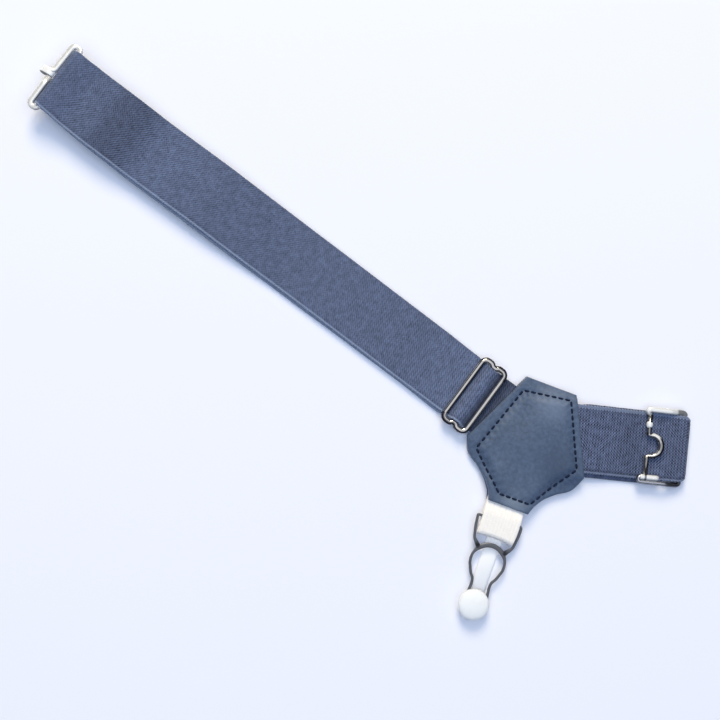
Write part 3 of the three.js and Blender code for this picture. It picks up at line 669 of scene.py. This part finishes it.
def slider(material):
    end = SLIDER_HALF_Y - NOTCH_DEPTH
    side = [
        (SLIDER_HALF_U, SLIDER_HALF_Y, SLIDER_CORNER),
        (NOTCH_HALF + NOTCH_FLARE, SLIDER_HALF_Y, NOTCH_RADIUS),
        (NOTCH_HALF, end, NOTCH_RADIUS),
    ]
    side += [(-u, y, radius) for u, y, radius in reversed(side)]
    corners = [(sign * u, sign * y, 0, radius) for sign in (1, -1) for u, y, radius in side]
    middle = np.array([SLIDER_U, SLIDER_SHIFT, SLIDER_Z])
    shape = Shape()
    add_wire(shape, rounded(corners) + middle, SLIDER_WIRE, is_loop=True)
    bar = [(0, y, CENTRE_BAR_Z - SLIDER_Z) for y in (-end, 0, end)]
    add_wire(shape, bar + middle, CENTRE_BAR)
    return shape.piece("slider_wire", material, LONG)


def hook(material):
    frame = rounded(HOOK_CORNERS)
    shape = Shape()
    add_wire(shape, frame, from_table(HOOK_RADII, frame[:, 0]), FINE_SIDES, roundness=HOOK_ROUNDNESS)
    shape.tilt(HOOK_DROOP, HOOK_U, HOOK_SHIFT, HOOK_Z)
    return shape.piece("hook_wire", material, LONG)


def hook_curl(material):
    path = spline(CURL_PATH, 6)
    y = CURL_Y + CURL_LEAN * (path[:, 0] - CURL_U)
    shape = Shape()
    add_ribbon(shape, path, y, np.full(len(path), CURL_HALF), CURL_HALF, CURL_THICK, CURL_EDGE, 3)
    shape.tilt(HOOK_DROOP, HOOK_U, HOOK_SHIFT, HOOK_Z)
    return shape.piece("hook_tongue", material, LONG)


def eye_side(name, material):
    """Half of the eye's frame: round the ear and down to the middle of its bar."""
    sign, ear, start, radius, roundness = EYE_SIDES[name]
    frame = rounded([
        (start, sign * EYE_INSIDE, EYE_Z_TOP, 0),
        (ear, sign * EYE_INSIDE, EYE_Z_TOP, EYE_EAR_RADIUS),
        (ear, sign * EYE_HALF, EYE_Z_TOP, EYE_EAR_RADIUS),
        (EYE_CREST_U, sign * EYE_HALF, EYE_Z_TOP, EYE_CREST_RADIUS),
        (EYE_U, sign * EYE_HALF, EYE_Z, EYE_BAR_RADIUS),
        (EYE_U, 0, EYE_Z, 0),
    ])
    radii = mix(EYE_WIRE, radius, ease(np.abs(frame[:, 1]), *EYE_THIN))
    shape = Shape()
    add_wire(shape, frame, radii, FINE_SIDES, roundness=roundness)
    return shape.piece(name, material, SHORT)


def eye_tail(material):
    """The free end of the frame, which lies on the strap."""
    u = np.linspace(*TAIL_SPAN, 16)
    tail = level([(place, -EYE_INSIDE) for place in u], EYE_Z_TOP)
    shape = Shape()
    add_wire(shape, tail, from_table(TAIL_RADII, u), 24, roundness=TAIL_ROUNDNESS)
    return shape.piece("eye_tail_wire", material, SHORT)


def eye_cross(material):
    bow = arc(BOW_U, BOW_Y, BOW_RADIUS, -90, 90, 24)[1:-1]
    ends = [-EYE_INSIDE, BOW_Y - BOW_RADIUS, BOW_Y + BOW_RADIUS, EYE_INSIDE]
    straight = [(EYE_CROSS_U, y) for y in ends]
    cross = level(np.vstack((straight[:2], bow, straight[2:])), EYE_Z_TOP)
    shape = Shape()
    add_wire(shape, cross, from_table(BOW_RADII, BOW_RADIUS - np.abs(cross[:, 1] - BOW_Y)))
    return shape.piece("eye_cross_wire", material, SHORT)


def solder_bead(material):
    """The lump of solder on the eye's cross wire."""
    circle = arc(0, 0, 1, 0, 345, 23)
    rings = []
    for polar in np.radians(np.linspace(4, 176, 15)):
        ring = np.insert(math.sin(polar) * circle, 1, math.cos(polar), axis=1)
        rings.append(np.array(BEAD) + BEAD_SIZE * ring)
    shape = Shape()
    shape.loft(rings, np.arange(len(rings)) * 0.3, np.linspace(0, 7, len(circle) + 1))
    return shape.piece("eye_solder", material, SHORT)


def patch_outline(steps):
    """The patch's outline at about even steps, its corners kept."""
    right = np.array(PATCH_RIGHT)
    half = np.vstack((right[:1], spline(right[1:-1], 6), right[-1:]))
    closed = np.vstack((half, (half * [-1, 1])[::-1], half[:1]))
    total = lengths(closed)[-1]
    points = []
    for a, b in zip(closed, closed[1:]):
        pieces = max(1, round(steps * np.linalg.norm(b - a) / total))
        points += [a + (b - a) * k / pieces for k in range(pieces)]
    return np.array(points)


def edge_share(x, y):
    """How far out points of the patch lie, from 0 at its middle to 1 on its outline."""
    rim_x, rim_y = patch_outline(PATCH_STEPS).T
    angles, radii = np.arctan2(rim_y, rim_x), np.hypot(rim_x, rim_y)
    return np.hypot(x, y) / np.interp(np.arctan2(y, x), angles, radii, period=TURN)


def cover(frame, start, half, x, y):
    """How much of a band's thickness the top leather has to clear at points of the patch."""
    c, s = math.cos(math.radians(frame[2])), math.sin(math.radians(frame[2]))
    dx, dy = x - frame[0], y - frame[1]
    u, v = dx * c + dy * s, np.abs(dy * c - dx * s)
    near, far = COVER_SIDE
    none, full = COVER_START
    return (1 - ease(v, half + near, half + far)) * ease(u, start + none, start + full)


def leather_underside(x, y, share):
    """Least height of the top leather's underside: over its padding, the straps and the tab."""
    rises = [PATCH_CROWN * (1 - ease(share, *CROWN_FADE))]
    rises += [rise * cover(frame, start, half + wider, x, y) for frame, start, half, wider, rise in COVERED]
    return LEATHER + GAP + np.maximum.reduce(rises)


def softened(height):
    """Each cell of a grid of heights averaged with its neighbours."""
    padded = np.pad(height, 1, mode="edge")
    rows = (padded[:-2] + 2 * padded[1:-1] + padded[2:]) / 4
    return (rows[:, :-2] + 2 * rows[:, 1:-1] + rows[:, 2:]) / 4


def stretched_skin():
    """Heights on a square grid of a skin that is stretched over what lies below the top leather, and drawn
    down at its rim where nothing lies below."""
    line = np.linspace(-SKIN_SPAN, SKIN_SPAN, SKIN_CELLS)
    x, y = np.meshgrid(line, line, indexing="ij")
    share = edge_share(x, y)
    least = leather_underside(x, y, np.minimum(share, 1.0))
    height = least
    for _ in range(SKIN_STRETCHES):
        height = np.maximum(softened(height), least)
    covered = np.maximum.reduce([cover(*band[:2], band[2] + LOWERED_CLEAR, x, y) for band in COVERED])
    height = mix(height, least, LOWERED * ease(share, *LOWERED_FROM) * (1 - covered))
    for _ in range(SKIN_SOFTENINGS):
        height = softened(height)
    return height


def on_grid(height, x, y):
    """Heights of a grid at points between its cells."""
    scale = (SKIN_CELLS - 1) / (2 * SKIN_SPAN)
    i, j = (x + SKIN_SPAN) * scale, (y + SKIN_SPAN) * scale
    k, m = i.astype(int), j.astype(int)
    i, j = i - k, j - m
    near = height[k, m] * (1 - i) + height[k + 1, m] * i
    far = height[k, m + 1] * (1 - i) + height[k + 1, m + 1] * i
    return near * (1 - j) + far * j


def seam_sides():
    """Each side of the seam: its start, direction, length and count of stitches."""
    corners = np.array(STITCH_CORNERS)
    for a, b in zip(corners, np.roll(corners, -1, axis=0)):
        side = np.linalg.norm(b - a)
        yield a, (b - a) / side, side, max(1, round(side / STITCH_PITCH))


def seam_distance(x, y):
    """Distance of points from the line of stitching, below nought inside it, and the pull of the stitches,
    from -1 between two of them to 1 at one's middle."""
    nearest = np.full(x.shape, np.inf)
    pull = np.zeros(x.shape)
    inside = np.ones(x.shape, bool)
    for start, way, side, count in seam_sides():
        dx, dy = x - start[0], y - start[1]
        reach = np.clip(dx * way[0] + dy * way[1], 0, side)
        away = np.hypot(dx - reach * way[0], dy - reach * way[1])
        pull = np.where(away < nearest, -np.cos(TURN * reach * count / side), pull)
        nearest = np.minimum(nearest, away)
        inside &= dx * way[1] - dy * way[0] > 0
    return np.where(inside, -nearest, nearest), pull


def leather_top(skin, x, y):
    """Height of the top leather's face: padded inside the seam and drawn down along it."""
    seam, pull = seam_distance(x, y)
    groove = SEAM_DEPTH * (1 + SEAM_PULL * pull) * np.exp(-(seam / SEAM_WIDTH) ** 2)
    pucker = PUCKER * pull * np.exp(-((seam + PUCKER_INSIDE) / SEAM_WIDTH) ** 2)
    raised = PAD * ease(-seam, *PAD_REACH) + pucker + FLARE * ease(-y, *FLARE_Y)
    return on_grid(skin, x, y) + LEATHER - SKIN_SINK - groove + raised


def flat_piece(name, rows, material):
    """A piece of the patch, with its UVs as seen from above."""
    shape = Shape()
    shape.loft(rows, np.arange(len(rows)), np.arange(len(rows[0]) + 1))
    shape.uvs = [shape.points[i][:2] for face in shape.faces for i in face]
    return shape.piece(name, material)


def patch_front(skin, material):
    outline = patch_outline(PATCH_STEPS)
    levels = [(share, 0) for share in np.linspace(0.04, RIM_START, PATCH_ROWS)] + RIM
    rows = []
    for share, drop in levels:
        x, y = outline.T * share
        rows.append(np.column_stack((x, y, leather_top(skin, x, y) - drop)))
    for share, _ in reversed(levels):
        x, y = outline.T * share
        under = on_grid(skin, x, y) - RIM_UNDERCUT * ease(share, RIM_START, 1.0)
        rows.append(np.column_stack((x, y, under)))
    return flat_piece("patch_leather", rows, material)


def patch_back(material):
    outline = patch_outline(BACK_STEPS)
    rows = [level(outline * (1 - inset / PATCH_REACH), z) for inset, z in BACK_LAYERS]
    return flat_piece("patch_backing", rows, material)


def stitches(skin, material):
    """Each stitch is a short thread that lies in the seam and dips at both ends."""
    shape = Shape()
    steps = np.linspace(-1, 1, 9)
    for start, way, side, count in seam_sides():
        for k in range(count):
            middle = start + way * side * (k + 0.5) / count
            flat = middle + np.outer(steps * STITCH_LENGTH / 2, way)
            height = leather_top(skin, *flat.T) + STITCH_RISE - STITCH_DIP * np.abs(steps) ** 3
            add_wire(shape, np.column_stack((flat, height)), STITCH_WIRE, 10)
    return shape.piece("patch_stitching", material)


def tab(material):
    radius = CLIP_Z - TAB_BACK_Z
    fold_u = TAB_END - TAB_THICK / 2 - radius
    in_patch = LEATHER + GAP + TAB_THICK / 2

    def rising(at_patch, at_clip):
        return lambda u: mix(at_patch, at_clip, ease(u, *TAB_RISE))

    front = rising(in_patch + TAB_THICK + GAP, TAB_BACK_Z + 2 * radius)
    path = np.vstack((
        run(TAB_START, fold_u - FOLD_REST, TAB_STEP, front),
        arc(fold_u, CLIP_Z, radius, 90, -90, 16),
        run(fold_u - FOLD_REST, TAB_START, TAB_STEP, rising(in_patch, TAB_BACK_Z)),
    ))
    half = from_table(TAB_HALVES, path[:, 0])
    shape = Shape()
    add_ribbon(shape, path, np.full(len(path), TAB_SHIFT), half, TAB_HALF, TAB_THICK, TAB_EDGE, 17)
    points = np.array(shape.points)
    hollow = np.polyval(HOLLOW, (points[:, 1] - TAB_SHIFT) / TAB_HALF)
    points[:, 0] += hollow * ease(points[:, 0], HOLLOW_FROM, TAB_END)
    shape.points = points
    return shape.piece("tab_elastic", material, TAB)


def flat_bar(shape, points, widths, is_loop):
    """A flat bar along a curve in its plane, with rounded edges."""
    sections = []
    for (u, y), (du, dy), width in zip(points, directions(points, is_loop), widths):
        section = []
        for across, up, shift_across, shift_up in BAR_SECTION:
            reach = across * width / 2 + shift_across * BAR_SOFT
            height = up * CLIP_THICK / 2 + shift_up * BAR_SOFT
            section.append((u - dy * reach, y + du * reach, height))
        sections.append(section)
    shape.loft(sections, lengths(points, is_loop), np.linspace(0, 4, len(BAR_SECTION) + 1), is_loop)


def keyhole():
    """The keyhole loop: its round part, the neck and the small bulb under the button."""
    def on_ring(u, radius, angles):
        turns = np.radians(angles)
        return [(u - radius * math.sin(turn), radius * math.cos(turn)) for turn in turns]

    side = on_ring(LOOP_U, LOOP_RADIUS, [90, 65, 40, 15, -10, -28])
    side += NECK
    side += on_ring(BULB_U, BULB_RADIUS, [25, -10, -45, -90])
    mirrored = [(u, -y) for u, y in side[1:-1]][::-1]
    return spline(side + mirrored, 7, True)


def clip_frame(material):
    shape = Shape()
    ring = keyhole()
    flat_bar(shape, ring, mix(CLIP_CROSS, CLIP_BAR, ease(ring[:, 0], *LOOP_WIDE_U)), True)
    arms = [[(u, sign * y, 0, radius) for u, y, radius in CLIP_ARM] for sign in (1, -1)]
    path = rounded(arms[0][::-1] + CLIP_CORNERS + arms[1])[:, :2]
    flat_bar(shape, path, mix(CLIP_BAR, CLIP_FOOT, ease(path[:, 0], *CLIP_FOOT_U)), False)
    shape.tilt(CLIP_SLOPE, 0, 0, CLIP_Z)
    return shape.piece("clip_metal", material, CLIP)


def add_turned(shape, profile):
    """A solid of revolution about the button's axis; its profile starts and ends near the axis."""
    sections = [level(arc(BUTTON_U, 0, r, 0, 360, TURNED_SIDES)[:-1], z) for r, z in profile]
    shape.loft(sections, lengths(profile), np.linspace(0, 30, TURNED_SIDES + 1))


def tongue(material):
    """The rubber strip below the clip, with the button's base plate."""
    rows = []
    for inset, z in TONGUE_LAYERS:
        half = TONGUE_HALF - inset
        round_end = arc(TONGUE_HALF, 0, half, 90, 270, 24)
        rows.append(level(np.vstack((round_end, [(BUTTON_U, -half), (BUTTON_U, half)])), z))
    shape = Shape()
    shape.loft(rows, np.arange(len(rows)) * 0.3, np.linspace(0, 60, len(rows[0]) + 1))
    add_turned(shape, BASE_PROFILE)
    return shape.piece("tongue_rubber", material, TONGUE)


def button(material):
    dome = [
        (DOME_RADIUS * math.cos(a) ** DOME_BULGE, mix(DOME_Z, BUTTON_TOP, math.sin(a)))
        for a in np.radians(np.linspace(4, 88, 15))
    ]
    shape = Shape()
    add_turned(shape, STEM_PROFILE + dome + [(0.01, BUTTON_TOP)])
    return shape.piece("button_rubber", material, TONGUE)


class Shader:
    """The nodes of one material or world, with short calls for those that it takes."""

    def __init__(self, name, kind=bpy.data.materials, surface="Principled BSDF"):
        self.owner = kind.new(name)
        self.owner.use_nodes = True
        self.tree = self.owner.node_tree
        self.surface = self.tree.nodes[surface]

    def node(self, kind, inputs, output=0, **settings):
        made = self.tree.nodes.new(kind)
        for name, value in settings.items():
            setattr(made, name, value)
        for key, value in inputs.items():
            self.set(made.inputs[key], value)
        return made.outputs[output]

    def set(self, socket, value):
        if isinstance(value, bpy.types.NodeSocket):
            self.tree.links.new(value, socket)
        else:
            socket.default_value = (*value, 1) if socket.type == "RGBA" else value

    def math(self, operation, *values, clamp=False):
        return self.node("ShaderNodeMath", dict(enumerate(values)), operation=operation, use_clamp=clamp)

    def add(self, *values):
        return reduce(lambda a, b: self.math("ADD", a, b), values)

    def times(self, *values):
        return reduce(lambda a, b: self.math("MULTIPLY", a, b), values)

    def wave(self, phase):
        return self.math("COSINE", phase)

    def fade(self, value, near, far, share=1.0, how="SMOOTHSTEP"):
        """The share up to near, falling to 0 at far."""
        return self.node(
            "ShaderNodeMapRange", {0: value, 1: near, 2: far, 3: share, 4: 0.0}, interpolation_type=how,
        )

    def band(self, value, centre, half, soft):
        """1 within half of the centre, easing to 0 at soft from it."""
        return self.fade(self.math("ABSOLUTE", self.math("SUBTRACT", value, centre)), half, soft)

    def parts(self, vector):
        """A vector's x, y and z."""
        return self.node("ShaderNodeSeparateXYZ", {0: vector}).node.outputs

    def cut(self):
        """The piece's own cut, as a vector of along and across."""
        return self.node("ShaderNodeUVMap", {}, uv_map="cut")

    def place(self):
        return self.node("ShaderNodeTexCoord", {}, "Object")

    def noise(self, vector, scale, detail=2.0, roughness=0.5):
        inputs = {"Vector": vector, "Scale": scale, "Detail": detail, "Roughness": roughness}
        return self.node("ShaderNodeTexNoise", inputs)

    def patches(self, vector, scale, amount, detail=2.0, roughness=0.5):
        """A noise about nought, to plus or minus half the amount at most."""
        noise = self.noise(vector, scale, detail, roughness)
        return self.node("ShaderNodeMath", {0: noise, 1: amount, 2: -amount / 2}, operation="MULTIPLY_ADD")

    def ramp(self, value, stops, how="LINEAR"):
        """A colour ramp, with each stop a position and a colour."""
        colours = self.node("ShaderNodeValToRGB", {0: value})
        ramp = colours.node.color_ramp
        ramp.interpolation = how
        while len(ramp.elements) < len(stops):
            ramp.elements.new(0.5)
        for element, (position, colour) in zip(ramp.elements, stops):
            element.position = position
            element.color = (*colour, 1)
        return colours

    def table(self, place, rows):
        """A table of values along a strap, eased from row to row."""
        return self.ramp(place, [(length / TABLE_LENGTH, (value,) * 3) for length, value in rows], "EASE")

    def blend(self, share, a, b, how="MIX"):
        return self.node("ShaderNodeMix", {0: share, 6: a, 7: b}, 2, data_type="RGBA", blend_type=how)

    def bump(self, height, distance):
        return self.node("ShaderNodeBump", {"Strength": 1.0, "Distance": distance * MM, "Height": height})

    def finish(self, **values):
        """Sets the surface's inputs, with _ for a space in their names."""
        for key, value in values.items():
            self.set(self.surface.inputs[key.replace("_", " ")], value)
        return self.owner


def webbing(name, colour, strength, uneven, patchy, under_from, ribs, leans, reliefs, painted_shades, lines):
    """Elastic webbing. Its picks make ribs across it, and their stagger two crossing slants; leans, reliefs
    and the painted shades are tables along the strap of how the slants, their strength and the painted shade
    and light on it change."""
    s = Shader(name)
    cut = s.cut()
    along, across, _ = s.parts(cut)
    place = s.math("DIVIDE", along, TABLE_LENGTH, clamp=True)
    a = s.add(s.times(along, TURN / WEAVE_PITCH), s.patches(cut, 0.16, 5.0))
    b = s.times(across, TURN / WEAVE_PITCH)
    rising, falling = s.wave(s.add(a, b)), s.wave(s.math("SUBTRACT", a, b))
    lean = s.math("ADD", s.table(place, leans), s.patches(cut, 0.11, 1.6), clamp=True)
    slants = s.add(s.times(rising, lean), s.times(falling, s.math("SUBTRACT", 1.0, lean)))
    weave = s.add(slants, s.times(s.wave(a), s.table(place, ribs)))
    weave = s.times(weave, s.noise(cut, 0.4), 2.0)
    fine = s.patches(cut, 1.1, 0.55, 1.0)
    middling = s.patches(cut, 0.5, uneven, 1.0)
    broad = s.patches(cut, 0.14, patchy)
    relief = s.times(weave, s.table(place, reliefs), strength)
    # the tone is scaled by the table of painted shade and light along the strap
    tone = s.times(s.add(relief, fine, middling, broad, 1.0), s.table(place, painted_shades))
    shade = s.blend(1.0, colour, tone, "MULTIPLY")
    is_under = s.math("GREATER_THAN", along, under_from)
    # edge lines: paler selvedge and painted light, and painted shade in the grooves
    for ply, middle, half, soft, share, line_colour in lines:
        on_ply = is_under if ply else s.math("SUBTRACT", 1.0, is_under)
        shade = s.blend(s.times(s.band(across, middle, half, soft), on_ply, share), shade, line_colour)
    height = s.add(s.times(weave, 0.5), fine)
    return s.finish(
        Base_Color=shade, Roughness=0.85, Normal=s.bump(height, 0.09), Sheen_Weight=0.15,
        Sheen_Roughness=0.4, Specular_IOR_Level=0.2,
    )


def leather_finish(name):
    """Matte leather: pores, soft wrinkles, a mottled tone with spots of painted highlight and shade across
    it, and a paler cut edge.
    """
    s = Shader(name)
    place = s.place()
    pores = s.node("ShaderNodeTexVoronoi", {"Vector": place, "Scale": 1500.0}, "Distance")
    height = s.add(s.times(pores, 0.5), s.times(s.noise(place, 420.0, 3.0, 0.6), 1.6))
    mottle = [s.patches(place, scale, amount) for scale, amount in ((300, 0.24), (820, 0.85), (55, 0.2))]
    shade = s.blend(1.0, LEATHER_TONE, s.add(*mottle, 1.0), "MULTIPLY")
    cut = s.cut()
    # spots of painted highlight and shade
    for painted_spot, reach, share, painted_colour in PAINTED_LEATHER_LIGHT:
        away = s.node("ShaderNodeVectorMath", {0: cut, 1: (*painted_spot, 0.0)}, "Value", operation="DISTANCE")
        shade = s.blend(s.fade(away, 0.0, reach, share), shade, painted_colour)
    facing = s.parts(s.node("ShaderNodeNewGeometry", {}, "True Normal"))[2]
    edge = s.fade(s.math("ABSOLUTE", facing), 0.2, 0.75, how="LINEAR")
    return s.finish(
        Base_Color=s.blend(edge, shade, CUT_EDGE), Roughness=0.5, Normal=s.bump(height, 0.08),
        Specular_IOR_Level=0.3,
    )


def metal(name, painted_highlight=None):
    """Polished or satin wire, with painted dark reflections and shade in places round and along it, and a
    painted highlight where it is less metallic in a band along it.
    """
    colour, roughness, metallic, rim, painted_darks = METALS[name]
    s = Shader(name)
    wear = s.patches(s.place(), 500.0, roughness * 0.7, 4.0, 0.6)
    scratches = s.noise(s.place(), 1500.0, 3.0)
    along, around, _ = s.parts(s.cut())
    # painted highlight: less metallic in a band along the wire
    if painted_highlight:
        metallic = s.math("SUBTRACT", metallic, s.times(s.band(along, *painted_highlight), HIGHLIGHT_SHARE))
    # painted dark reflections and shade, round and along the wire
    for round_band, along_band, share in painted_darks:
        here = s.times(s.band(around, *round_band), s.band(along, *along_band), share)
        colour = s.blend(here, colour, DARK_REFLECTION)
    return s.finish(
        Base_Color=colour, Metallic=metallic, Roughness=s.add(wear, roughness),
        Normal=s.bump(scratches, 0.008), Specular_Tint=(rim, rim, rim),
    )


def thread(name):
    s = Shader(name)
    along, around, _ = s.parts(s.cut())
    twist = s.math("SINE", s.add(s.times(along, 12.0), s.times(around, 3.0)))
    return s.finish(
        Base_Color=(0.011, 0.018, 0.045), Roughness=0.7, Normal=s.bump(twist, 0.05), Specular_IOR_Level=0.15,
    )


def cream_elastic(name):
    s = Shader(name)
    cut = s.cut()
    along, across, _ = s.parts(cut)
    ribs = s.wave(s.times(across, TURN / CREAM_RIB))
    picks = s.wave(s.times(along, TURN / CREAM_PICK))
    height = s.add(s.times(ribs, 0.6), s.times(picks, 0.3))
    tone = s.add(s.times(height, 0.16), s.times(s.noise(cut, 0.8), 0.9))
    shade = s.ramp(tone, [(0.0, (0.87, 0.82, 0.76)), (0.5, (0.94, 0.9, 0.86)), (1.0, (0.97, 0.95, 0.92))])
    return s.finish(Base_Color=shade, Roughness=0.9, Normal=s.bump(height, 0.04), Sheen_Weight=0.2)


def rubber(name, dark, light, painted_glow):
    """Milky rubber, with a painted glow that lifts it out of shade, standing in for the light that it
    scatters inside.
    """
    s = Shader(name)
    haze = s.ramp(s.noise(s.place(), 400.0), [(0.3, dark), (0.7, light)])
    return s.finish(
        Base_Color=haze, Roughness=0.45, Specular_IOR_Level=0.3, Emission_Color=(1.0, 0.96, 0.94),
        Emission_Strength=painted_glow,
    )


def add_camera():
    """The photograph's viewing angle: almost overhead, from a little towards the hook."""
    back = (CAMERA_PLACE - MIDDLE).normalized()
    right = PICTURE_UP.cross(back).normalized()
    up = back.cross(right)
    data = bpy.data.cameras.new("camera")
    data.lens = LENS
    data.sensor_width = SENSOR
    data.clip_start, data.clip_end = CLIP_RANGE
    camera = new_object("camera", data)
    camera.matrix_world = Matrix.Translation(CAMERA_PLACE) @ Matrix((right, up, back)).transposed().to_4x4()
    bpy.context.scene.camera = camera
    return right, up


def add_floor():
    corners = [(x * FLOOR_HALF, y * FLOOR_HALF, 0) for x, y in ((-1, -1), (1, -1), (1, 1), (-1, 1))]
    data = bpy.data.meshes.new("floor")
    data.from_pydata(corners, [], [(0, 1, 2, 3)])
    floor = new_object("floor", data)
    floor.location.z = FLOOR_Z
    paper = Shader("floor_paper")
    data.materials.append(paper.finish(Base_Color=FLOOR_COLOUR, Roughness=0.9, Specular_IOR_Level=0.1))


def add_area(name, place, size, power, colour):
    data = bpy.data.lights.new(name, "AREA")
    data.shape = "DISK"
    data.size = size
    data.energy = power
    data.color = colour
    light = new_object(name, data)
    light.location = place
    light.rotation_euler = (MIDDLE - place).to_track_quat("-Z", "Y").to_euler()
    return light


def add_lights(right, up):
    """A soft lamp beyond the top of the photograph, a bluish fill overhead and a pale ceiling."""
    right = Vector((right.x, right.y, 0)).normalized()
    up = Vector((up.x, up.y, 0)).normalized()

    def from_middle(to_right, to_top, above):
        return MIDDLE + right * to_right + up * to_top + Vector((0, 0, above))

    add_area("lamp", from_middle(*LAMP_PLACE), *LAMP)
    add_area("fill", from_middle(*FILL_PLACE), *FILL).visible_glossy = False
    room = Shader("room", bpy.data.worlds, "Background")
    height = room.parts(room.node("ShaderNodeTexCoord", {}, "Generated"))[2]
    sky = [(sine, [grey * tint for tint in CEILING_TINT]) for sine, grey in CEILING]
    bpy.context.scene.world = room.finish(Color=room.ramp(height, sky))
    bpy.context.scene.view_settings.view_transform = "Standard"


def dress():
    """Every piece, attached to its body, with the node of the model that it stands for, which is hidden, and
    the material slot named beside it.
    """
    leather = leather_finish("leather_slate")
    skin = stretched_skin()
    groups = [
        ("suspender", "long_strap", "webbing", [long_strap(webbing("webbing_slate", **LONG_WEAVE))]),
        ("suspender", "short_strap", "webbing", [short_strap(webbing("webbing_short", **SHORT_WEAVE))]),
        ("suspender", "slider", "chrome", [slider(metal("chrome_wire"))]),
        ("hook", "hook", "chrome", [hook(metal("nickel_hook")), hook_curl(metal("nickel_curl"))]),
        ("eye", "eye", "chrome", [
            eye_cross(metal("chrome_cross", CROSS_HIGHLIGHT)),
            eye_side("eye_top_side", metal("nickel_top")),
            eye_tail(metal("nickel_tail")),
            eye_side("eye_low_side", metal("shaded_chrome_low")),
        ]),
        ("suspender", "patch_front", "leather", [patch_front(skin, leather)]),
        ("suspender", "patch_back", "leather", [patch_back(leather)]),
        ("suspender", "tab", "cream_elastic", [tab(cream_elastic("elastic_cream"))]),
        ("suspender", "clip_frame", "dark_metal", [clip_frame(metal("metal_dark"))]),
        ("suspender", "button_tongue", "white_rubber", [
            # the tongue's stronger glow is painted light that lifts it out of the clip's shade
            tongue(rubber("rubber_tongue", (0.92, 0.92, 0.92), (0.95, 0.95, 0.95), 0.12)),
            button(rubber("rubber_button", (0.83, 0.85, 0.87), (0.87, 0.89, 0.91), 0.02)),
        ]),
    ]
    for body, node, slot, pieces in groups:
        for piece in pieces:
            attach(piece, body)
            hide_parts(node)
    seam = stitches(skin, thread("thread_navy"))
    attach(seam, "suspender")
    bead = solder_bead(metal("solder_bright"))
    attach(bead, "eye")


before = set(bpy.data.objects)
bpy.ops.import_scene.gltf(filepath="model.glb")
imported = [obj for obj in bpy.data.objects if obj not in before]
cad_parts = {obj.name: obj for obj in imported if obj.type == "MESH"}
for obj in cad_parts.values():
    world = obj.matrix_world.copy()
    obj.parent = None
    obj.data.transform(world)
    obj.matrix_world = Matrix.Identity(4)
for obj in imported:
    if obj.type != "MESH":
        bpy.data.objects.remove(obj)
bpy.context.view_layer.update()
image_right, image_up = add_camera()
add_floor()
add_lights(image_right, image_up)
dress()
